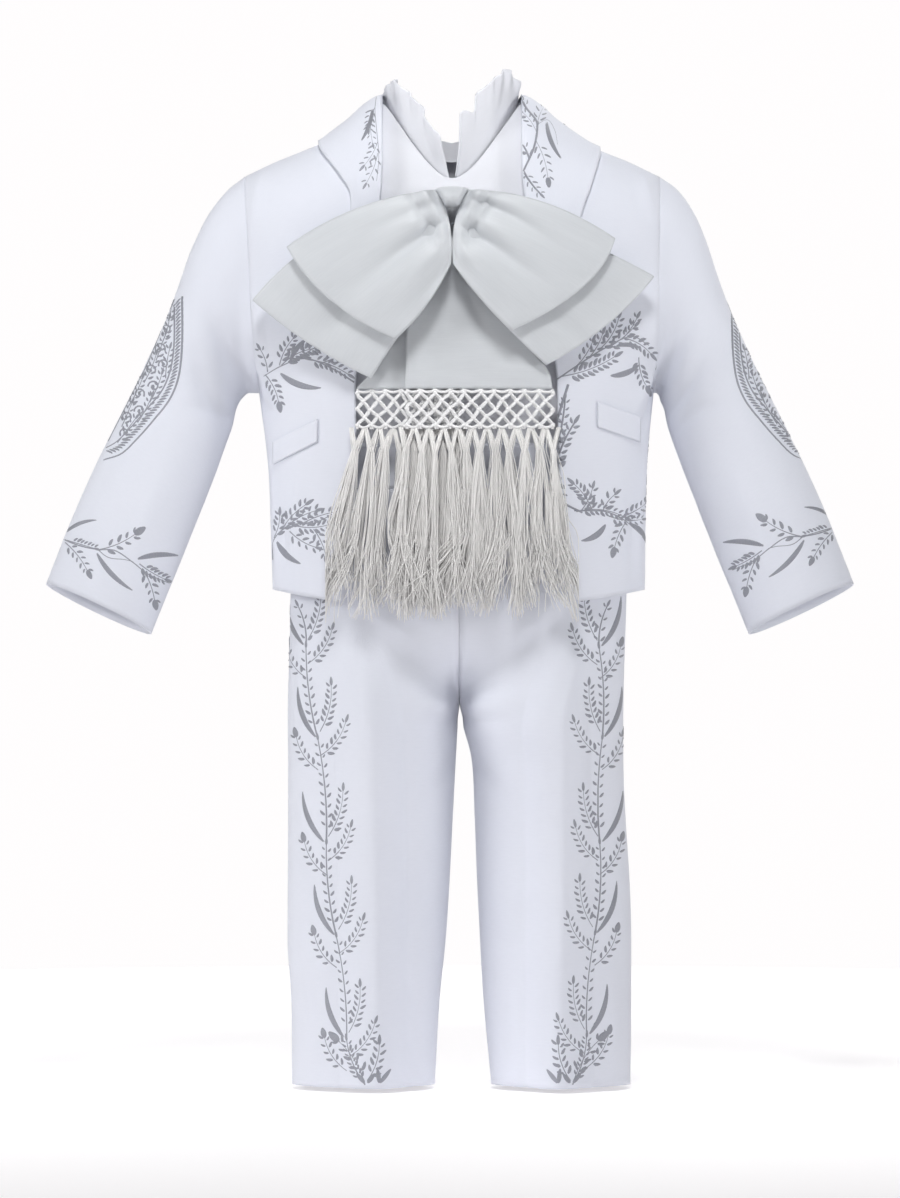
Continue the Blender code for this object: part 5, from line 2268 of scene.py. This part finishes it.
COLLAR_RIGHT_SPRAY: tuple[Motif, ...] = (
    Leaf((374, 110), (361, 150), 4.2, -3.0),
    Sprig((376, 112), (370, 134), 1.5, 4, 6.0),
    Stem(((377, 98), (376, 114), (378, 138), (380, 164), (378, 188))),
    Sprig((379, 148), (366, 172), -1.5, 4, 6.5),
    Sprig((379, 160), (368, 190), -1.5, 4, 6.0),
    Sprig((372, 124), (374, 150), 1.0, 4, 5.0),
)
COLLAR_LEFT_SPRAY: tuple[Motif, ...] = (
    Stem(((517, 92), (525, 112), (536, 130), (533, 152), (524, 174), (514, 194))),
    Leaf((545, 122), (562, 168), 4.6, 4.5),
    Sprig((536, 130), (546, 104), -1.5, 4, 7.0),
    Sprig((535, 138), (522, 118), 1.5, 4, 6.5),
    Sprig((534, 146), (546, 184), -2.0, 5, 7.0, True),
    Sprig((528, 166), (518, 146), 1.0, 3, 6.0),
    Sprig((522, 178), (538, 200), 1.0, 4, 6.0),
    Sprig((526, 112), (516, 100), 0.5, 3, 5.5),
    Stem(((536, 130), (546, 124), (553, 134), (556, 150)), 1.3),
)
CHEST_RIGHT_SPRAY: tuple[Motif, ...] = (
    Stem(((356, 386), (334, 372), (306, 362), (283, 369), (266, 378)), 1.9),
    Leaf((281, 374), (326, 391), 5.4, 5.5),
    Sprig((284, 368), (322, 352), -4.0, 8, 8.5),
    Sprig((282, 368), (296, 342), -2.0, 5, 7.0),
    Sprig((268, 377), (281, 404), -2.0, 5, 7.0, True),
    Sprig((310, 363), (350, 378), -2.5, 7, 6.5),
    Sprig((270, 374), (263, 352), 1.5, 3, 6.0),
    Sprig((300, 364), (332, 346), -2.5, 5, 7.0),
    Sprig((322, 368), (352, 360), -1.5, 5, 6.0),
    Leaf((292, 366), (312, 341), 4.2, -3.0),
)
CHEST_LEFT_SPRAY: tuple[Motif, ...] = (
    Stem(((548, 388), (574, 370), (602, 352), (630, 340), (646, 348)), 1.9),
    Leaf((606, 379), (638, 366), 5.0, 3.5),
    Sprig((560, 380), (612, 360), 3.0, 9, 8.0),
    Sprig((596, 354), (616, 322), 3.0, 6, 7.5),
    Sprig((622, 342), (648, 356), -2.5, 5, 7.5),
    Sprig((636, 360), (644, 388), 2.0, 5, 7.0, True),
    Sprig((586, 362), (600, 338), 1.5, 4, 7.0),
    Sprig((620, 342), (634, 322), 1.0, 3, 6.5),
    Sprig((574, 370), (590, 346), 1.5, 4, 6.5),
    Sprig((604, 352), (632, 330), 1.5, 5, 6.5),
    Leaf((612, 350), (640, 352), 3.8, -3.0),
)
EDGE_LEFT_SPRAY: tuple[Motif, ...] = (
    Stem(((566, 388), (558, 414), (551, 444), (553, 474), (560, 502), (580, 514)), 1.8),
    Sprig((552, 478), (572, 426), -3.0, 7, 8.0),
    Sprig((552, 470), (559, 496), 1.5, 3, 7.0),
    Stem(((572, 512), (596, 512), (620, 520), (644, 540)), 1.8),
    Leaf((604, 524), (577, 542), 5.2, -4.5),
    Sprig((590, 512), (572, 486), 2.0, 6, 7.5),
    Sprig((600, 513), (612, 496), -1.5, 3, 7.0),
    Sprig((574, 513), (622, 518), -4.5, 8, 6.5),
    Sprig((616, 519), (644, 504), 1.5, 5, 7.0),
    Sprig((624, 522), (612, 548), 1.5, 4, 7.0, True),
    Leaf((628, 524), (646, 546), 4.6, -3.5),
    Sprig((578, 513), (590, 490), 1.5, 4, 6.5),
    Sprig((606, 517), (640, 520), 2.5, 6, 6.0),
    Sprig((554, 450), (563, 402), 1.5, 6, 6.0),
)
HEM_RIGHT_SPRAY: tuple[Motif, ...] = (
    Stem(((274, 560), (276, 540), (292, 526), (316, 524), (338, 514)), 1.8),
    Leaf((278, 540), (305, 565), 5.4, 4.0),
    Sprig((282, 534), (308, 506), -2.5, 6, 8.0),
    Sprig((296, 526), (330, 526), 2.5, 6, 7.0),
    Sprig((316, 530), (328, 556), -1.5, 4, 6.5, True),
    Sprig((276, 538), (282, 516), 1.5, 4, 7.0),
    Sprig((288, 528), (318, 512), -2.0, 5, 7.0),
    Sprig((302, 526), (346, 512), -2.5, 6, 7.0),
    Sprig((292, 532), (318, 548), 2.0, 4, 6.5),
)
CUFF_SPRAY: tuple[Motif, ...] = (
    Stem(((64, 539), (82, 546), (101, 550), (118, 551), (135, 562), (150, 574), (170, 583)), 1.8),
    Leaf((66, 535), (102, 521), 3.4, -4.0),
    Leaf((99, 551), (138, 592), 4.4, 4.5),
    Leaf((138, 560), (182, 556), 4.8, -3.0),
    Sprig((70, 541), (98, 549), 0.0, 7, 5.5, False, (-1,)),
    Sprig((104, 550), (138, 535), 2.0, 4, 8.0, True),
    Sprig((68, 543), (91, 571), -2.0, 5, 6.0, True),
    Sprig((142, 564), (166, 579), 1.0, 6, 7.0),
    Sprig((146, 570), (156, 600), -1.5, 4, 6.5, True),
    Stem(((101, 550), (112, 558), (128, 560), (136, 562)), 1.2),
)
OVAL_RIM = (
    (184, 298), (184.5, 330), (181.5, 375), (172.5, 400), (155, 423), (140, 440), (124, 455), (106, 461),
)
OVAL_LINING = (
    (176, 308), (176.5, 334), (173.5, 368), (165, 391), (148, 412), (133, 429), (119, 443), (108, 449),
)
ELBOW_OVAL: tuple[Motif, ...] = (
    Stem(OVAL_RIM, 3.0),
    Stem(OVAL_LINING, 2.4),
    Rope(tuple(((a[0] + b[0]) / 2.0, (a[1] + b[1]) / 2.0) for a, b in zip(OVAL_RIM, OVAL_LINING)), 7.0),
    Stem(((176, 300), (168, 316), (158, 342), (148, 366), (136, 390), (124, 414), (110, 442)), 4.2),
    Scroll((168, 331), 5.6, 200, 1.2, 3.0),
    Scroll((161, 350), 6.4, 20, -1.3, 3.0),
    Scroll((166, 366), 5.6, 160, 1.2, 3.0),
    Scroll((152, 371), 6.0, 40, -1.2, 3.0),
    Scroll((156, 388), 6.0, 180, 1.3, 3.0),
    Scroll((141, 395), 6.0, 30, -1.2, 3.0),
    Scroll((142, 412), 5.6, 170, 1.2, 3.0),
    Scroll((128, 418), 5.6, 20, -1.2, 3.0),
    Scroll((127, 434), 5.0, 150, 1.1, 3.0),
    Sprig((170, 322), (173, 306), 0.0, 3, 5.8),
    Sprig((164, 344), (171, 320), 1.0, 4, 5.4),
    Sprig((168, 380), (172, 350), -1.0, 5, 5.4),
    Sprig((152, 404), (164, 376), 1.0, 5, 5.4),
    Sprig((140, 424), (154, 398), 1.0, 5, 5.4),
    Sprig((120, 444), (138, 420), 0.0, 5, 5.4),
    Sprig((146, 384), (158, 356), 1.0, 5, 5.4),
    Sprig((130, 408), (144, 380), 1.0, 5, 5.4),
    Sprig((158, 362), (167, 336), 0.0, 4, 5.0),
    Sprig((124, 428), (134, 404), 0.0, 4, 5.0),
)
VINE_NODES = {
    Side.RIGHT: ((308, 647), (320, 738), (328, 842), (338, 934), (348, 1036)),
    Side.LEFT: ((597, 648), (600, 738), (598, 842), (593, 932), (585, 1033)),
}
VINE_FOOT = {Side.RIGHT: (366, 1079), Side.LEFT: (571, 1079)}


@dataclass
class Embroidery:
    """Silver-grey vines, sprays and elbow ovals, as raised stitches on the cloth."""

    tailor: Tailor

    def build(self) -> None:
        """Embroider the jacket and the trousers."""
        collars = {Side.RIGHT: COLLAR_RIGHT_SPRAY, Side.LEFT: COLLAR_LEFT_SPRAY}
        fronts = {
            Side.RIGHT: CHEST_RIGHT_SPRAY + HEM_RIGHT_SPRAY,
            Side.LEFT: CHEST_LEFT_SPRAY + EDGE_LEFT_SPRAY,
        }
        for side in Side:
            word = side.name.lower()
            self.work("embroidery_collar_" + word, ("jacket_collar_%s_cloth" % word,), [(collars[side], {})])
            self.work("embroidery_front_" + word, ("jacket_front_%s_cloth" % word,), [(fronts[side], {})])
            self.work("embroidery_trousers_" + word, ("trouser_front_%s_cloth" % word,), [(self.vine(side), {})])
            drawings = []
            for face in Face:
                cuff = {"face": face}
                oval = {"face": face}
                if side is Side.LEFT:
                    cuff |= {"mirror_column": 901.0, "drop": -13.0}
                    oval |= {"mirror_column": 914.8, "drop": 1.0}
                drawings += [(CUFF_SPRAY, cuff), (ELBOW_OVAL, oval)]
            self.work("embroidery_sleeve_" + word, ("jacket_sleeve_%s_cloth" % word,), drawings)

    def work(self, name: str, cloth: tuple[str, ...], drawings: list[tuple[tuple[Motif, ...], dict]]) -> None:
        """Stitch drawings on cloth as one piece.

        Args:
            name: Name of the piece.
            cloth: Names of the cloth pieces that carry it.
            drawings: Motifs, and how the needle lays them.
        """
        mesh = bmesh.new()
        mesh.loops.layers.uv.new("cut")
        trees = [self.tailor.shells[piece] for piece in cloth]
        for motifs, manner in drawings:
            needle = Needle(mesh, trees, **manner)
            for motif in motifs:
                motif.stitch(needle)
        bmesh.ops.remove_doubles(mesh, verts=mesh.verts, dist=TOUCH)
        piece = self.tailor.piece(name, mesh, Finish.EMBROIDERY)
        backing = piece.modifiers.new("thread_depth", "SOLIDIFY")
        backing.thickness = 0.25 * MM
        backing.offset = -1.0

    def vine(self, side: Side) -> tuple[Motif, ...]:
        """Return the vine of one trouser leg, from its hem up to the jacket.

        Args:
            side: Side of the wearer.

        Returns:
            Motifs of the vine.
        """
        hand = 1.0 if side is Side.RIGHT else -1.0
        nodes = VINE_NODES[side]
        foot = VINE_FOOT[side]
        top = (nodes[0][0] - 8.0 * hand, 606.0)
        motifs: list[Motif] = []
        line = (top, *nodes, foot)
        for number, (above, below) in enumerate(zip(line, line[1:])):
            sway = 3.0 * (-1) ** number * hand
            motifs.append(Sprig(below, above, sway, 9 if number else 4, 5.8, stem=2.9))

        def near(node: Spot, across: float, up: float) -> Spot:
            """Return a place beside another."""
            return node[0] + hand * across, node[1] - up

        for number, node in enumerate(nodes):
            sway = 2.0 * math.sin(number * 2.1)
            motifs += [
                Leaf(near(node, 0, 0), near(node, -22 + sway, 55), 4.6, -6.5 * hand),
                Sprig(near(node, 2, 8), near(node, 15 - sway, 54), 3.5 * hand, 7, 6.8, stem=1.6),
                Sprig(near(node, 2, -16), near(node, 26 + sway, 18), 4.0 * hand, 6, 6.6, stem=1.6),
                Sprig(near(node, 0, -30), near(node, -22, 2), -4.0 * hand, 5, 6.4, True, stem=1.6),
            ]
        motifs += [
            Sprig(near(foot, -2, 6), near(foot, -26, 42), 3.0 * hand, 4, 8.5, True),
            Sprig(near(foot, 2, 4), near(foot, 14, 40), 3.0 * hand, 5, 8.0),
            Leaf(near(foot, 0, 1), near(foot, -9, 12), 4.0, 0.0),
            Leaf(near(foot, 2, 1), near(foot, 10, 12), 4.0, 0.0),
            Leaf(near(foot, 14, 1), near(foot, 26, 16), 4.0, 0.0),
            Leaf(near(foot, 14, 1), near(foot, 12, 17), 4.0, 0.0),
        ]
        return tuple(motifs)


# Studio


@dataclass
class Studio:
    """Pale floor, soft lights and the camera."""

    distance: float = 4.2
    frame_height: float = 1198.0 * PIXEL
    floor_height: float = -0.6190
    floor_radius: float = 1.4

    def build(self) -> None:
        """Set up the floor, the lights and the camera."""
        self.floor()
        self.light("key_light", (-2.1, -0.95, 0.6), (0.0, 0.0, 0.0), 0.8, 13.6, 140.0)
        self.light("upper_light", (0.0, -1.0, 1.0), (0.0, 0.0, 0.0), 0.32, 2.4, 80.0)
        self.light("fill_light", (2.4, -1.2, 0.2), (0.12, 0.0, 0.07), 0.8, 1.05, 30.0)
        self.light("back_light", (0.6, 2.2, 1.0), (0.0, 0.0, -0.2), 1.6, 22.0)
        self.air()
        bpy.context.scene.view_settings.view_transform = "Standard"
        self.camera()

    def air(self) -> None:
        """Make the air: near white to the eye, and a dim even light on the suit."""
        world = bpy.data.worlds.new("studio_air")
        world.use_nodes = True
        tree = world.node_tree
        light = tree.nodes["Background"]
        light.inputs["Color"].default_value = (0.97, 0.98, 1.0, 1.0)
        light.inputs["Strength"].default_value = 0.20
        seen = tree.nodes.new("ShaderNodeBackground")
        seen.inputs["Color"].default_value = (1.0, 0.985, 0.988, 1.0)
        path = tree.nodes.new("ShaderNodeLightPath")
        either = tree.nodes.new("ShaderNodeMixShader")
        tree.links.new(path.outputs["Is Camera Ray"], either.inputs[0])
        tree.links.new(light.outputs[0], either.inputs[1])
        tree.links.new(seen.outputs[0], either.inputs[2])
        tree.links.new(either.outputs[0], tree.nodes["World Output"].inputs["Surface"])
        bpy.context.scene.world = world

    def floor(self) -> None:
        """Make the round floor."""
        sweep = bmesh.new()
        bmesh.ops.create_circle(sweep, cap_ends=True, segments=128, radius=self.floor_radius)
        bmesh.ops.translate(sweep, verts=sweep.verts, vec=(0.0, 0.0, self.floor_height))
        mesh = bpy.data.meshes.new("studio_floor")
        sweep.normal_update()
        sweep.to_mesh(mesh)
        sweep.free()
        mesh.shade_smooth()
        mesh.materials.append(PaperFinish("studio_paper").make())
        floor = bpy.data.objects.new("studio_floor", mesh)
        bpy.context.scene.collection.objects.link(floor)

    def light(
        self, name: str, place: tuple, target: tuple, size: float, power: float, spread: float = 180.0
    ) -> None:
        """Make a soft square light that faces a target.

        Args:
            name: Name of the light.
            place: Its place.
            target: Point that it faces.
            size: Width of its square.
            power: Power in watts.
            spread: Width of its beam in degrees.
        """
        lamp = bpy.data.lights.new(name, "AREA")
        lamp.energy = power
        lamp.size = size
        lamp.spread = math.radians(spread)
        holder = bpy.data.objects.new(name, lamp)
        holder.location = place
        holder.rotation_euler = (Vector(target) - Vector(place)).to_track_quat("-Z", "Y").to_euler()
        bpy.context.scene.collection.objects.link(holder)

    def camera(self) -> None:
        """Make the camera at the photograph's angle, 900 by 1198."""
        eye = bpy.data.cameras.new("camera")
        eye.sensor_fit = "VERTICAL"
        eye.sensor_height = 24.0
        eye.lens = eye.sensor_height * self.distance / self.frame_height
        eye.clip_end = 100.0
        holder = bpy.data.objects.new("camera", eye)
        x, z = photo_place(450.0, 599.0)
        holder.location = (x, -self.distance, z)
        holder.rotation_euler = (math.pi / 2.0, 0.0, 0.0)
        bpy.context.scene.collection.objects.link(holder)
        bpy.context.scene.camera = holder


def main() -> None:
    """Dress the suit and set up the studio."""
    logging.basicConfig(level=logging.INFO, format="%(message)s")
    tailor = Tailor(make_finishes(), {})
    for garment in (Jacket(tailor), Shirt(tailor), Trousers(tailor), BowTie(tailor), Embroidery(tailor)):
        garment.build()
        LOG.info("finished %s", type(garment).__name__)
    Studio().build()


if __name__ == "__main__":
    main()
